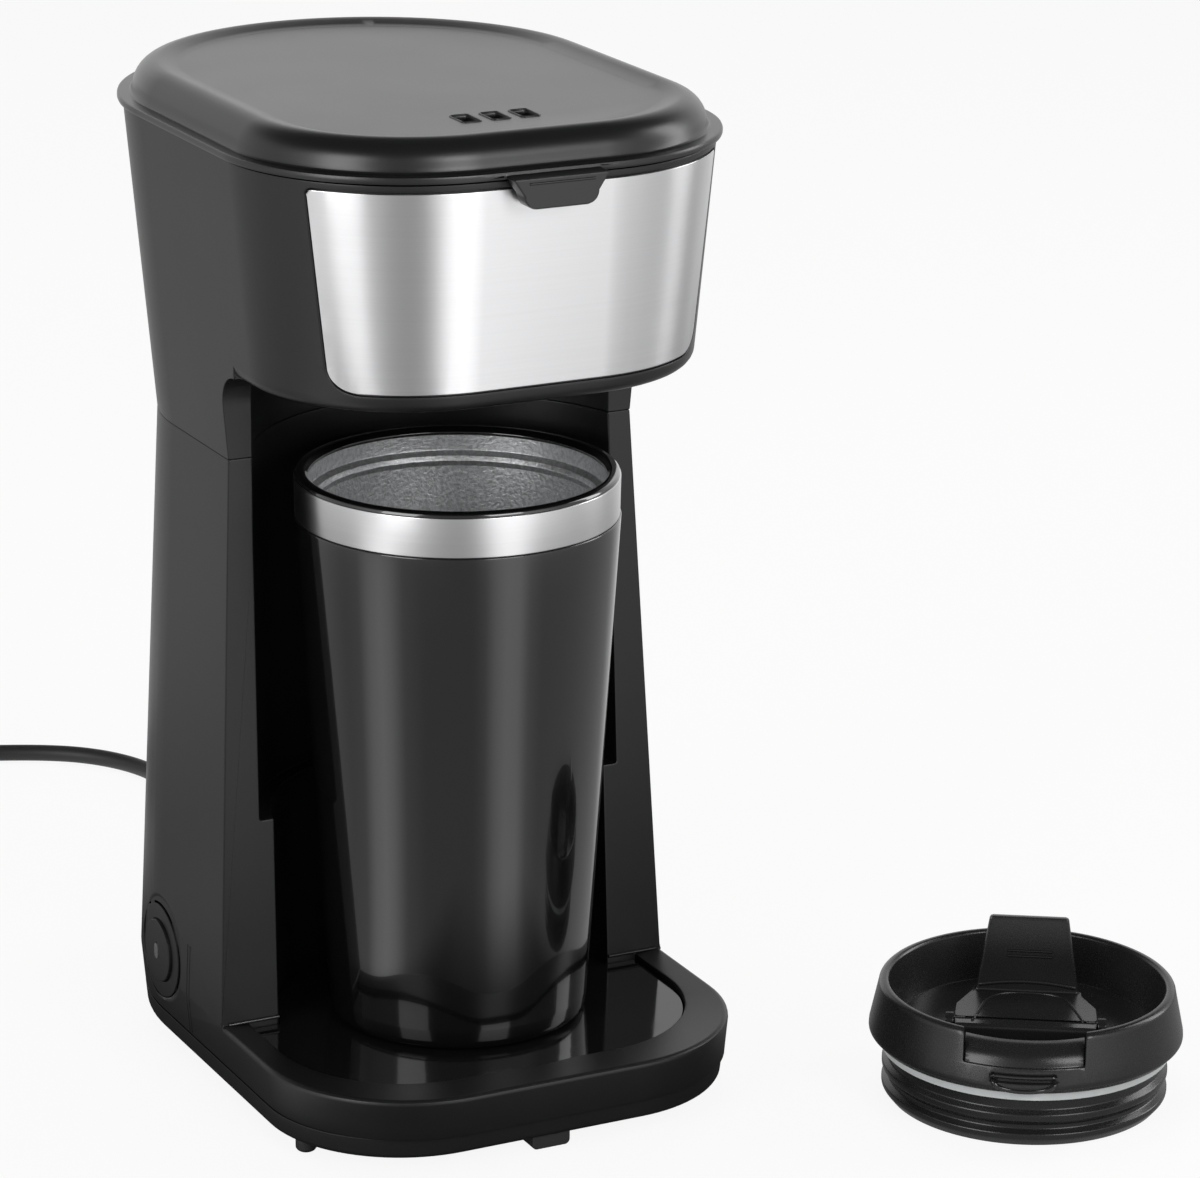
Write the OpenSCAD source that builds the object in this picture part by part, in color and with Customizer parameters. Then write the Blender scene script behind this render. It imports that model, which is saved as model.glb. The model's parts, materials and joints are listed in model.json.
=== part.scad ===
// One-cup drip coffee maker with a travel mug. Millimetres, +Z up, standing on z = 0.
// The machine is drawn about the axis of the mug bay, with its front towards -Y.

/* [Body] */
// Width of the machine body
body_w = 132; // [128:0.5:140]
// Distance from the mug axis back to the middle of the rounded back
back_y = 53; // [51:0.5:60]
// Thickness of the moulded walls
wall = 2.5; // [2.2:0.1:3]
// Width of the body at the seam between column and head
seam_w = 117; // [115:0.5:122]
// Height of the feet
foot_h = 4; // [3:0.5:6]
// Height of the bottom cover's edge
cover_h = 5.7; // [5:0.1:8]
// Height of the base from the bottom cover to its rim
base_h = 11.5; // [11:0.5:16]
// Height of the column above the rim of the base
column_h = 154.3; // [152:0.1:175]
// Height of the head
head_h = 83.7; // [82:0.1:92]

/* [Base] */
// Distance from the mug axis to the front of the base
base_front = 63; // [61:0.5:70]
// Plan radius of the front corners of the base
base_corner = 41; // [38:0.5:44]
// Width of the rim beside the cup plate
rim_side = 8; // [6:0.5:9]
// Width of the rim in front of the cup plate
rim_front = 14; // [12:0.5:16]
// Plan radius of the front corners of the cup plate
plate_corner = 36; // [32:0.5:40]
// Depth of the cup plate's surface below the rim
plate_drop = 2; // [1.6:0.1:2.4]
// Thickness of the cup plate
plate_t = 2; // [1.5:0.1:2.5]
// Taper of the base side, in millimetres over its height
base_taper = 1; // [0.6:0.1:2]
// Width of the front foot
foot_w = 11; // [8:0.5:14]
// Depth of a foot from front to back
foot_d = 7; // [5:0.5:9]

/* [Mug bay] */
// Radius of the bay's wall above its ledge
bay_r = 54; // [53:0.1:56]
// Width of the ledge in the bay's wall
bay_step = 4; // [3:0.1:4.5]
// Height of the ledge above the rim of the base
ledge_h = 55.5; // [45:0.5:65]
// Distance behind the mug axis of the column's front at its top
leg_top = 15; // [13:0.1:18]
// Distance behind the mug axis of the column's front at its foot
leg_foot = 7.7; // [6:0.1:10]

/* [Head] */
// Distance from the mug axis to the front of the head at its top
head_front = 54.4; // [53:0.1:58]
// Plan radius of the front corners of the head at its top
head_corner = 48.9; // [46:0.1:50]
// Height of the overhang's underside above the column seam
overhang_h = 24.2; // [22:0.1:30]
// Radius of the overhang's lower edge
overhang_edge = 4; // [2:0.1:4.5]
// Height of the steel panel
panel_h = 52.1; // [46:0.1:54]
// Height of the panel's lower edge above the overhang's underside
panel_lift = 5.2; // [4.8:0.1:8]
// Thickness of the steel panel
panel_t = 0.8; // [0.6:0.1:1]
// Gap round the steel panel
panel_gap = 0.5; // [0.3:0.1:0.8]
// Distance in front of the mug axis where the panel's ends stop
panel_end = 33.5; // [30:0.5:36]
// Depth of the inner deck below the top of the head
deck_drop = 21; // [20:0.5:24]
// Radius of the filter opening in the deck
well_r = 47.5; // [47:0.1:48]

/* [Top lid] */
// Overhang of the lid's flange beyond the body
flange_over = 1.5; // [1:0.1:2.5]
// Thickness of the lid's flange
flange_t = 2; // [1.6:0.1:3]
// Gap between the head and the lid
lid_gap = 0.5; // [0.3:0.1:0.8]
// Height of the dome above the flange
dome_h = 8; // [7:0.5:12]
// Depth of the dish in the top of the dome
dish_d = 1.5; // [0.5:0.1:3]
// Radius of the dome's shoulder
shoulder_r = 7; // [5:0.5:7]
// Length of a steam slot
slot_l = 7.8; // [5:0.1:10]
// Width of a steam slot
slot_w = 4.2; // [3:0.1:6]
// Spacing of the steam slots
slot_pitch = 8.2; // [7:0.1:10]
// Distance in front of the mug axis of the steam slots
slot_y = 22.3; // [18:0.1:25]
// Number of steam slots
slot_n = 3; // [2:1:4]
// Width of the lift tab
tab_w = 26.6; // [20:0.2:32]
// Height of the lift tab below the flange
tab_h = 7; // [5:0.1:8]
// Thickness of the lift tab from front to back
tab_t = 5.6; // [4:0.1:6]
// Diameter of the lid's hinge pin
pin_d = 3; // [2.5:0.1:3.5]
// Radius of the hinge barrels
barrel_r = 3.2; // [3:0.1:3.6]
// Half the width of the lid's hinge barrel
barrel_half = 12; // [8:0.5:16]
// Length of each fixed hinge barrel
barrel_fix = 8; // [6:0.5:10]

/* [Water path] */
// Height of the water tank
tank_h = 150; // [130:1:152]
// Wall of the water tank
tank_t = 2; // [1.6:0.1:2.5]
// Radius of the tank's round back
tank_r = 47; // [44:0.1:47.4]
// Outer diameter of the hoses
hose_d = 7.6; // [7:0.1:8]
// Bore of the hoses
hose_bore = 4.8; // [4:0.1:5.4]
// Radius of the hose bends
bend_r = 10; // [8:0.5:11]
// Height of the heater casting
heater_h = 18; // [16:0.5:22]
// Width of the heater casting's limbs
heater_w = 12; // [10:0.5:14]
// Bend radius of the heater casting
heater_r = 12; // [10:0.5:14]
// Length of the heater's straight limbs
heater_l = 24; // [18:0.5:28]

/* [Filter] */
// Depth of the filter basket
basket_h = 32.5; // [28:0.5:34]
// Radius of the basket's mouth
basket_r = 45.5; // [44:0.1:46.2]
// Radius of the basket's floor
basket_floor_r = 30; // [26:0.5:36]
// Length of the brew outlet below the basket
outlet_l = 10; // [8:0.5:11]
// Bore of the brew outlet
outlet_bore = 6; // [4:0.5:8]

/* [Switch] */
// Outer radius of the switch bezel
bezel_r = 13.2; // [12:0.1:14]
// Radius of the button
button_r = 8.8; // [8:0.1:10]
// Travel of the button
press = 2; // [1.5:0.1:2.5]
// Height of the button's centre above the rim of the base
switch_up = 5; // [4.5:0.5:12]
// Radius of the hollow round the switch
scoop_r = 16; // [15.5:0.5:20]

/* [Travel mug] */
// Height of the mug
mug_h = 151; // [140:0.5:152]
// Radius of the mug's body under its steel rim
mug_r = 43.1; // [42:0.1:44]
// Radius of the mug's body at its foot
mug_foot_r = 34.5; // [32:0.1:38]
// Height of the steel rim
band_h = 12; // [9:0.5:16]
// Radius of the mug's mouth
mouth_r = 39.1; // [39:0.1:40]
// Wall of the mug's outer shell
shell_t = 2; // [1.5:0.1:2.4]
// Depth of the mug's inner thread zone
thread_zone = 8; // [6:0.5:12]

/* [Mug lid] */
// Distance of the mug lid to the right of the mug axis
lid_x = 131.5; // [125:0.5:150]
// Distance of the mug lid in front of the mug axis
lid_y = 79.3; // [60:0.1:100]
// Turn of the mug lid, in degrees
lid_turn = 32.5; // [0:0.5:60]
// Greatest radius of the mug lid's collar
collar_r = 42.2; // [41.5:0.1:44]
// Height of the mug lid's collar
collar_h = 15.6; // [14:0.1:18]
// Height of the threaded stopper below the collar
stopper_h = 16.4; // [16:0.1:20]
// Radius of the stopper's ribs
rib_r = 38.4; // [37.8:0.1:38.6]
// Height of the seal ring
seal_h = 2; // [1.5:0.1:2.5]
// Width of the notch in the collar
notch_w = 31.8; // [31:0.1:34]
// Distance of the flip cap's pins in front of the lid's axis
cap_pin_y = 9; // [8:0.5:10]
// Diameter of the flip cap's pins
cap_pin_d = 2.6; // [2:0.1:3]
// Length of the flip cap behind its pins
cap_l = 23; // [20:0.5:24]
// Height of the flip cap's tab
cap_tab_h = 21; // [16:0.5:21]

/* [Power lead] */
// Diameter of the power lead
cord_d = 5.2; // [4:0.1:6.5]
// Length of the strain relief
relief_l = 28; // [20:1:31]
// Mean radius of the coiled lead
coil_r = 28; // [26:0.5:32]

/* [Hidden] */
$fn = 96;

// Clearances
fit = 0.3;
run_fit = 0.06;
cut = 1;

// Levels of the machine
z_cover = foot_h;
cover_top = z_cover + cover_h;
seam_groove = 0.3;
z_seam = cover_top + seam_groove;
z_rim = z_seam + base_h;
z_head = z_rim + column_h;
z_top = z_head + head_h;
z_over = z_head + overhang_h;
z_ledge = z_rim + ledge_h;
z_plate = z_rim - plate_drop;
z_pocket = z_plate - plate_t;
z_deck = z_top - deck_drop;
z_flange = z_top + lid_gap;
z_dome = z_flange + flange_t;
z_crown = z_dome + dome_h;
z_mug = z_plate + 0.1;

// Plans: half width of the straight front, its corner centres and the middle of the round back
body_half = body_w / 2;
seam_half = seam_w / 2;
base_core = [body_half - base_corner, base_corner - base_front, back_y];
head_core = [body_half - head_corner, head_corner - head_front, back_y];
plate_core = [body_half - rim_side - plate_corner, plate_corner - base_front + rim_front, back_y];
bay_low = bay_r - bay_step;
base_seam_r = base_corner - base_taper;
cover_core = [base_core[0] + 1.3, base_core[1] + 1, back_y];
cover_r = base_core[0] + base_seam_r - cover_core[0];
cover_foot_r = cover_r - 0.4;
flange_r = head_corner + flange_over;

// Half widths of the tapered column and head at a height
function column_half(z) = body_half + (seam_half - body_half) * (z - z_rim) / column_h;
function head_half(z) = seam_half + (body_half - seam_half) * (z - z_head) / head_h;
function head_r(z) = head_half(z) - head_core[0];
function leg_y(z) = leg_foot + (leg_top - leg_foot) * (z - z_rim) / column_h;

// Water path
shelf_t = 2.5;
tank_top = z_deck + 8;
tank_bottom = tank_top - tank_h;
tank_front_r = bay_r + wall + 1.5;
tank_side_y = 42;
hose_r = hose_d / 2;
bore_r = hose_bore / 2;
spigot_r = bore_r - run_fit;
bracket_t = 1.5;
bracket_z = z_seam + 26.5;
heater_z = bracket_z + bracket_t;
water_z = heater_z + heater_w / 2;
heater_y = back_y + 27;
limb_in_y = heater_y + heater_r;
limb_out_y = heater_y - heater_r;
limb_x = -4;
element_r = 3.2;
element_z = heater_z + heater_h - 4.5;
stub_l = 6;
valve_r = 6;
valve_h = 16;
feed_x = limb_x - stub_l - bend_r;
riser_reach = 51.5;
riser_dy = limb_out_y - back_y;
riser_x = -sqrt(riser_reach * riser_reach - riser_dy * riser_dy);
nozzle_r = 4;
nozzle_top = z_deck + 13;
outlet_drop = 8;
valve_top = tank_bottom - outlet_drop;
valve_low = valve_top - valve_h;
hose_join = tank_bottom - fit;
skirt_fillet = 10;

// Screws
screw_d = 3;
screw_head_d = 5.6;
screw_head_h = 2;
boss_r = 4;
post_front_x = seam_half - wall - boss_r + 0.5;
post_front_y = leg_top + 14;
post_back_r = seam_half - wall - boss_r + 1.3;
cover_front_x = body_half - rim_side - 12;
cover_back_r = base_core[0] + base_seam_r - wall - boss_r + 0.5;
head_posts = [
    for (side = [-1, 1]) [side * post_front_x, post_front_y],
    for (side = [-1, 1]) [side * post_back_r * cos(60), back_y + post_back_r * sin(60)]
];
cover_posts = [
    for (side = [-1, 1]) [side * cover_front_x, -14],
    for (side = [-1, 1]) [side * cover_back_r * cos(40), back_y + cover_back_r * sin(40)]
];
slot_step = 11;
bracket_boss_r = 3.5;
bracket_posts = [[-slot_step / 2, heater_y], [1.5 * slot_step, heater_y]];
head_screw_l = 24;
cover_screw_l = 12;

// Hinge of the top lid
hinge_y = back_y + body_half + barrel_r + 0.3;
hinge_z = z_flange - 1.5;

// Switch
switch_z = z_rim + switch_up;
switch_x = column_half(switch_z);
switch_y = back_y + 1.5;
bezel_in = 0.9;
bezel_seat = 2;
bezel_depth = 8;
button_depth = 6;
stem_r = 3;
switch_w = 20;
switch_d = 16;

// Mug
lip_r = 1.95;
band_r = mug_r - 0.2;
band_low = mug_h - band_h;
liner_t = 1;
liner_r = mouth_r + liner_t;
liner_foot_r = mug_foot_r - 6;
foot_pad_t = 1.2;

// Mug lid levels above the surface it stands on
collar_low = stopper_h;
collar_top = collar_low + collar_h;
lid_floor = collar_low + 2.4;
pocket_floor = 16;
tub_floor = 14;
cap_pin_z = 23;
cap_half = 18.9;
cap_back_half = 13.5;
cap_nose = 5;
cap_swing = 6.6;
cap_top = 24.3;
notch_z = 23.6;
hump_z = 28.6;
collar_in = 37;
seal_r = 39;
neck_r = 37.5;
tub_r = neck_r - 3 - fit;

// Power lead: its route from the strain relief over the surface to the coil, about the mug axis
exit_y = back_y + body_half - 0.8;
exit_z = 15.5;
lead_z = cord_d / 2;
coil_at = [-82, 279];
coil_half = cord_d;
lead_route = [
    [0, 150, 15.5], [0.3, 157, 14.8], [0.8, 165, 12.8], [1.8, 175, 9.4], [3.2, 186, 5.9],
    [4.8, 197, 3.5], [6.6, 208, 2.6], [8.6, 220, 2.6], [10.4, 231, 2.6], [11.5, 241, 2.6],
    [11.6, 249, 2.6], [10, 257, 2.6], [6.6, 265, 2.6], [1.6, 272.5, 2.6], [-4.8, 279, 2.6],
    [-12.4, 284.2, 2.6], [-20.6, 288, 2.6], [-29, 291, 2.6], [-39, 294.4, 2.6],
    [-50, 298.2, 2.6], [-61, 302, 2.6], [-66, 303.6, 2.6]
];
tail_route = [
    [-111, 271, 7.8], [-113, 262, 5.6], [-114.5, 252, 3.4], [-115.5, 242, 4.4], [-116, 233, 6.2],
    [-116, 226, 6.8]
];
plug_at = [-116, 226, 6.8];
plug_w = 26;
plug_t = 13.6;
plug_l = 28;
plug_neck = 12;
plug_pin_d = 4;
plug_pin_l = 19;
plug_pin_gap = 19;

// Shift that puts the middle of the whole set's box over the origin
machine_x = -(lid_x + collar_r - body_half - flange_over) / 2;
machine_y = -(hinge_y + barrel_r - lid_y - collar_r) / 2;

module at_machine() {
    translate([machine_x, machine_y, 0]) children();
}

module at_lid() {
    at_machine() translate([lid_x, -lid_y, 0]) rotate([0, 0, -lid_turn]) children();
}

// Points along an arc of a profile
function arc(cx, cy, r, from, to, steps) = [
    for (i = [0:steps])
        let (a = from + (to - from) * i / steps)
        [cx + r * cos(a), cy + r * sin(a)]
];

// Profile swept along the straight sides and round back of a plan
module back_sweep(core) {
    for (side = [0, 1])
        mirror([side, 0, 0])
            translate([core[0], core[2], 0])
                rotate([90, 0, 0])
                    linear_extrude(core[2] - core[1]) children();
    translate([0, core[2], 0])
        rotate_extrude(angle = 180) translate([core[0], 0]) children();
}

// Profile swept along the straight front and the two front corners of a plan
module front_sweep(core) {
    translate([0, core[1], 0])
        rotate([0, 0, -90])
            rotate([90, 0, 0])
                linear_extrude(2 * core[0], center = true) children();
    for (side = [0, 1])
        mirror([side, 0, 0])
            translate([core[0], core[1], 0])
                rotate([0, 0, -90]) rotate_extrude(angle = 90) children();
}

module round_plan(core) {
    back_sweep(core) children();
    front_sweep(core) children();
}

// Inside of a plan, between its corner centres and the middle of its back
module core_fill(core, low, high) {
    translate([0, 0, low])
        linear_extrude(high - low) {
            translate([-core[0], core[1]]) square([2 * core[0], core[2] - core[1]]);
            translate([0, core[2]]) circle(core[0]);
        }
}

// Filled plan at a distance from its core
module plan(core, r) {
    translate([-core[0] - r, core[1]]) square([2 * (core[0] + r), core[2] - core[1]]);
    translate([-core[0], core[1] - r]) square([2 * core[0], r]);
    for (x = [-core[0], core[0]]) translate([x, core[1]]) circle(r);
    translate([0, core[2]]) circle(core[0] + r);
}

// Everything behind the sloping front of the column
module behind_leg(low, high, inset) {
    far = 2 * body_w;
    rotate([90, 0, 90])
        linear_extrude(2 * body_w, center = true)
            polygon([
                [leg_y(low) + inset, low], [far, low], [far, high], [leg_y(high) + inset, high]
            ]);
}

module post(at, r, low, high) {
    translate([at[0], at[1], low]) cylinder(r = r, h = high - low);
}

// Tapered column, moved in from its outer surface
module column_solid(low, high, inset) {
    intersection() {
        union() {
            back_sweep([head_core[0], 0, back_y])
                polygon([
                    [0, low], [column_half(low) - inset - head_core[0], low],
                    [column_half(high) - inset - head_core[0], high], [0, high]
                ]);
            core_fill([head_core[0], 0, back_y], low, high);
        }
        behind_leg(low, high, inset);
    }
}

module base_solid() {
    round_plan(base_core)
        polygon([[0, z_seam], [base_seam_r, z_seam], [base_corner, z_rim], [0, z_rim]]);
    core_fill(base_core, z_seam, z_rim);
}

// Rounds the outer edge of the rim in front of the column and slopes it towards the cup plate
module rim_cut() {
    edge = 1.5;
    flat = base_corner - edge;
    slope = plate_drop / 2 / rim_front;
    intersection() {
        round_plan(base_core)
            polygon(concat(
                arc(flat, z_rim - edge, edge, 90, 0, 5),
                [
                    [base_corner + cut, z_rim - edge], [base_corner + cut, z_rim + cut],
                    [2, z_rim + cut], [2, z_rim - slope * flat]
                ]
            ));
        translate([-body_w, leg_foot - 2 * body_w, 0]) cube([2 * body_w, 2 * body_w, z_top]);
    }
}

module plate_outline(gap) {
    intersection() {
        plan(plate_core, plate_corner - gap);
        translate([-body_w, -body_w]) square([2 * body_w, body_w + leg_foot - gap]);
    }
    circle(bay_low - gap);
}

// Space inside the column and base, around the wall of the mug bay
module shell_cavity() {
    difference() {
        union() {
            translate([0, 0, z_cover])
                linear_extrude(z_pocket - wall - z_cover)
                    plan(base_core, base_seam_r - wall);
            column_solid(z_pocket - wall - 0.1, z_head + cut, wall);
        }
        translate([0, 0, z_pocket - wall]) cylinder(r = bay_low + wall, h = z_ledge - z_pocket);
        translate([0, 0, z_ledge - wall]) cylinder(r = bay_r + wall, h = column_h);
    }
}

module tank_outline(inset, reach) {
    difference() {
        intersection() {
            translate([0, back_y]) circle(tank_r - inset);
            translate([-body_w, tank_side_y + inset]) square([2 * body_w, body_w]);
        }
        circle(reach + inset);
    }
}

module switch_axis() {
    translate([-switch_x, switch_y, switch_z]) rotate([0, 90, 0]) children();
}

module body_shell() {
    color("#3b3b3d")
    at_machine() {
        difference() {
            union() {
                base_solid();
                column_solid(z_rim, z_head, 0);
            }
            difference() {
                shell_cavity();
                // Screw posts, tank shelf and the pad behind the switch stay solid
                for (p = head_posts) post(p, boss_r, z_head - 22, z_head + cut);
                for (p = cover_posts) post(p, boss_r, cover_top + fit, z_pocket + 4);
                translate([-body_w, back_y - body_w, tank_bottom - shelf_t])
                    cube([2 * body_w, 2 * body_w, shelf_t]);
                switch_axis() cylinder(r = scoop_r + 1.5, h = 5.5);
            }
            translate([0, 0, z_pocket]) linear_extrude(plate_drop + plate_t + cut) plate_outline(0);
            translate([0, 0, z_pocket]) cylinder(r = bay_low, h = z_ledge - z_pocket);
            translate([0, 0, z_ledge]) cylinder(r = bay_r, h = z_head);
            rim_cut();
            // Hollow round the switch and the hole for its bezel
            switch_scoop();
            switch_axis() {
                translate([0, 0, -cut]) cylinder(r = bezel_r - 1, h = bezel_depth + cut);
                translate([0, 0, -cut]) cylinder(r = bezel_r + run_fit, h = bezel_seat + cut);
            }
            // Hole for the cord bush
            translate([0, exit_y - 20, exit_z]) rotate([-90, 0, 0]) cylinder(r = 5, h = 40);
            for (p = head_posts) post(p, screw_d / 2 + 0.1, z_head - 30, z_head + cut);
            for (p = cover_posts) post(p, screw_d / 2, 0, z_pocket - 0.5);
            // Holes in the tank shelf for the tank's outlet and the riser hose
            post([feed_x, limb_in_y], valve_r, tank_bottom - shelf_t - cut, tank_bottom + cut);
            post([riser_x, limb_out_y], hose_r + fit, tank_bottom - 2 * shelf_t, tank_bottom + cut);
        }
    }
}

module switch_scoop() {
    depth = 1.4;
    out = 3;
    grow = (scoop_r - bezel_r - fit) / depth;
    translate([0, -2, 2])
        switch_axis()
            translate([0, 0, -out])
                cylinder(r1 = scoop_r + grow * out, r2 = bezel_r + fit, h = out + depth);
}

module bottom_cover() {
    edge = 1.5;
    color("#363638")
    at_machine()
        difference() {
            union() {
                round_plan(cover_core)
                    polygon(concat(
                        [[0, z_cover], [cover_foot_r - edge, z_cover]],
                        arc(cover_foot_r - edge, z_cover + edge, edge, -90, 0, 6),
                        [[cover_r, cover_top], [0, cover_top]]
                    ));
                core_fill(cover_core, z_cover, cover_top);
            }
            difference() {
                translate([0, 0, z_cover + wall])
                    linear_extrude(cover_h) plan(cover_core, cover_foot_r - wall);
                for (p = cover_posts) post(p, boss_r, z_cover, cover_top + cut);
                for (p = bracket_posts) post(p, bracket_boss_r, z_cover, cover_top + cut);
            }
            for (p = cover_posts) {
                post(p, screw_d / 2 + 0.1, 0, cover_top + cut);
                post(p, screw_head_d / 2 + 0.2, 0, z_cover + screw_head_h);
            }
            // Air slots under the heater
            for (i = [-2:2])
                translate([i * slot_step - 1.5, heater_y - 22, 0])
                    cube([3, 44, z_cover + wall + cut]);
        }
    color("#363638")
    at_machine()
        for (p = bracket_posts)
            difference() {
                post(p, bracket_boss_r, cover_top, bracket_z);
                post(p, 1.2, bracket_z - 8, bracket_z + cut);
            }
}

module foot(w) {
    corner = 1.5;
    rotate([90, 0, 0])
        linear_extrude(foot_d) {
            translate([-w / 2, corner]) square([w, foot_h - corner]);
            translate([corner - w / 2, 0]) square([w - 2 * corner, foot_h]);
            for (x = [-1, 1]) translate([x * (w / 2 - corner), corner]) circle(corner);
        }
}

module peg(r, edge) {
    cylinder(r1 = r - edge, r2 = r, h = edge);
    translate([0, 0, edge]) cylinder(r = r, h = foot_h - edge);
}

module feet() {
    front_y = cover_core[1] - cover_foot_r + 1.7;
    color("#2a2a2b")
    at_machine() {
        translate([0, front_y + foot_d, 0]) foot(foot_w);
        for (side = [-1, 1]) {
            translate([side * 58.5, -31, 0]) peg(2.8, 0.8);
            translate([side * 36, back_y + 48, 0]) foot(foot_d);
        }
    }
}

module cup_plate() {
    color("#101012")
    at_machine()
        translate([0, 0, z_pocket]) linear_extrude(plate_t) plate_outline(fit);
}

// Tapered head, moved in from its outer surface
module head_solid(low, high, inset) {
    round_plan(head_core)
        polygon([
            [0, low], [head_r(low) - inset, low], [head_r(high) - inset, high], [0, high]
        ]);
    core_fill(head_core, low, high);
}

// Outside of the head: cut away in front of the column, with a hollow fillet behind the overhang
module head_outside() {
    edge = overhang_edge;
    r = head_r(z_over + edge);
    difference() {
        head_solid(z_head, z_top, 0);
        rotate([90, 0, 90])
            linear_extrude(2 * body_w, center = true)
                polygon(concat(
                    [[-body_w, z_head - cut], [-body_w, z_over]],
                    arc(leg_top - skirt_fillet, z_over - skirt_fillet, skirt_fillet, 90, 0, 8),
                    [[leg_top, z_head - cut]]
                ));
        // Round lower edge of the overhang
        intersection() {
            round_plan(head_core)
                polygon(concat(
                    arc(r - edge, z_over + edge, edge, 0, -90, 6),
                    [[r - edge, z_over - cut], [r + cut, z_over - cut], [r + cut, z_over + edge]]
                ));
            translate([-body_w, -body_w, 0])
                cube([2 * body_w, body_w + leg_top - skirt_fillet, z_top]);
        }
    }
}

// Steel panel's sheet, grown by a gap all round
module panel_sheet(gap, out) {
    low = z_over + panel_lift - gap;
    high = z_over + panel_lift + panel_h + gap;
    big = 6 + gap;
    small = 1.5 + gap;
    intersection() {
        front_sweep(head_core)
            polygon([
                [head_r(low) - panel_t, low], [head_r(low) + out, low],
                [head_r(high) + out, high], [head_r(high) - panel_t, high]
            ]);
        rotate([90, 0, 90])
            linear_extrude(2 * body_w, center = true) {
                translate([-body_w, low]) square([body_w - panel_end + gap - big, high - low]);
                translate([-body_w, low + big])
                    square([body_w - panel_end + gap, high - low - big - small]);
                translate([-body_w, low + big])
                    square([body_w - panel_end + gap - small, high - low - big]);
                translate([gap - panel_end - big, low + big]) circle(big);
                translate([gap - panel_end - small, high - small]) circle(small);
            }
    }
}

module head_shell() {
    floor_top = z_over + wall;
    color("#3b3b3d")
    at_machine() {
        difference() {
            union() {
                head_outside();
                hinge_lugs();
            }
            translate([0, 0, z_head - cut]) cylinder(r = bay_r, h = overhang_h + cut);
            // Rooms under and over the deck, around the filter well
            difference() {
                union() {
                    head_solid(floor_top, z_deck - wall, wall);
                    head_solid(z_deck, z_top + cut, wall);
                    head_solid(z_head - cut, floor_top + 0.1, wall);
                }
                translate([0, 0, z_head - cut]) cylinder(r = bay_r + wall, h = floor_top - z_head + cut);
                translate([-body_w, -body_w, z_head - cut])
                    cube([2 * body_w, body_w + leg_top + wall, floor_top - z_head + cut]);
                cylinder(r = well_r + 2, h = z_deck);
                for (p = head_posts) post(p, boss_r, z_head - 2 * cut, z_head + 20);
            }
            translate([0, 0, floor_top]) cylinder(r = well_r, h = z_top);
            post([0, 0], nozzle_r + outlet_bore / 2 + 2, z_over - cut, floor_top + cut);
            panel_sheet(panel_gap, cut);
            for (p = head_posts) post(p, screw_d / 2, z_head - cut, z_head + 16);
            // Openings in the deck for the tank and the riser nozzle
            translate([0, 0, z_deck - wall - cut])
                linear_extrude(wall + 2 * cut) tank_outline(-fit, tank_front_r);
            post([riser_x, limb_out_y], nozzle_r + run_fit, z_deck - wall - cut, z_deck + cut);
            hinge_bore(barrel_half + barrel_fix + cut, pin_d / 2);
        }
    }
}

module hinge_bore(half, r) {
    translate([0, hinge_y, hinge_z])
        rotate([0, 90, 0]) translate([0, 0, -half]) cylinder(r = r, h = 2 * half);
}

module hinge_lugs() {
    start = barrel_half + fit;
    for (side = [0, 1])
        mirror([side, 0, 0])
            translate([start, 0, 0]) {
                translate([0, hinge_y, hinge_z])
                    rotate([0, 90, 0]) cylinder(r = barrel_r, h = barrel_fix);
                translate([0, hinge_y - barrel_r - 4.5, hinge_z - barrel_r])
                    cube([barrel_fix, barrel_r + 4.5, barrel_r]);
            }
}

module front_panel() {
    color("#c9cacc")
    at_machine() panel_sheet(0, 0);
}

module top_lid() {
    dome_r = head_corner - 2.1;
    crown_r = dome_r - 0.5 - shoulder_r;
    ceiling = z_crown - dish_d - wall;
    rib_r_out = head_r(z_top) - wall - 0.8;
    color("#38383a")
    at_machine()
        difference() {
            union() {
                // Flange
                translate([0, 0, z_flange]) linear_extrude(flange_t) plan(head_core, flange_r);
                // Dome with its round shoulder and dished top
                round_plan(head_core)
                    polygon(concat(
                        [[0, z_flange], [dome_r, z_flange], [dome_r, z_dome]],
                        arc(crown_r, z_crown - shoulder_r, shoulder_r, 5, 90, 10),
                        [
                            [crown_r - 1.5, z_crown - 0.3], [crown_r - 6, z_crown - dish_d],
                            [0, z_crown - dish_d]
                        ]
                    ));
                core_fill(head_core, z_flange, z_crown - dish_d);
                // Locating rib inside the head
                round_plan(head_core)
                    translate([rib_r_out - 1.5, z_top - 2.5]) square([1.5, lid_gap + 3]);
                lift_tab();
                // Hinge barrel and its arm
                translate([-barrel_half, hinge_y - 6, z_flange])
                    cube([2 * barrel_half, 6, hinge_z + barrel_r - z_flange]);
                translate([-barrel_half, hinge_y, hinge_z])
                    rotate([0, 90, 0]) cylinder(r = barrel_r, h = 2 * barrel_half);
            }
            // Hollow underside
            round_plan(head_core)
                polygon([
                    [0, z_flange - cut], [rib_r_out - 1.5, z_flange - cut],
                    [rib_r_out - 1.5, z_dome], [crown_r + 3, ceiling], [0, ceiling]
                ]);
            core_fill(head_core, z_flange - cut, ceiling);
            for (i = [0:slot_n - 1])
                translate([
                    (i - (slot_n - 1) / 2) * slot_pitch - slot_w / 2, -slot_y - slot_l / 2, ceiling - cut
                ])
                    cube([slot_w, slot_l, wall + dish_d + 2 * cut]);
            hinge_bore(barrel_half + cut, pin_d / 2 + run_fit);
        }
}

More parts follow.
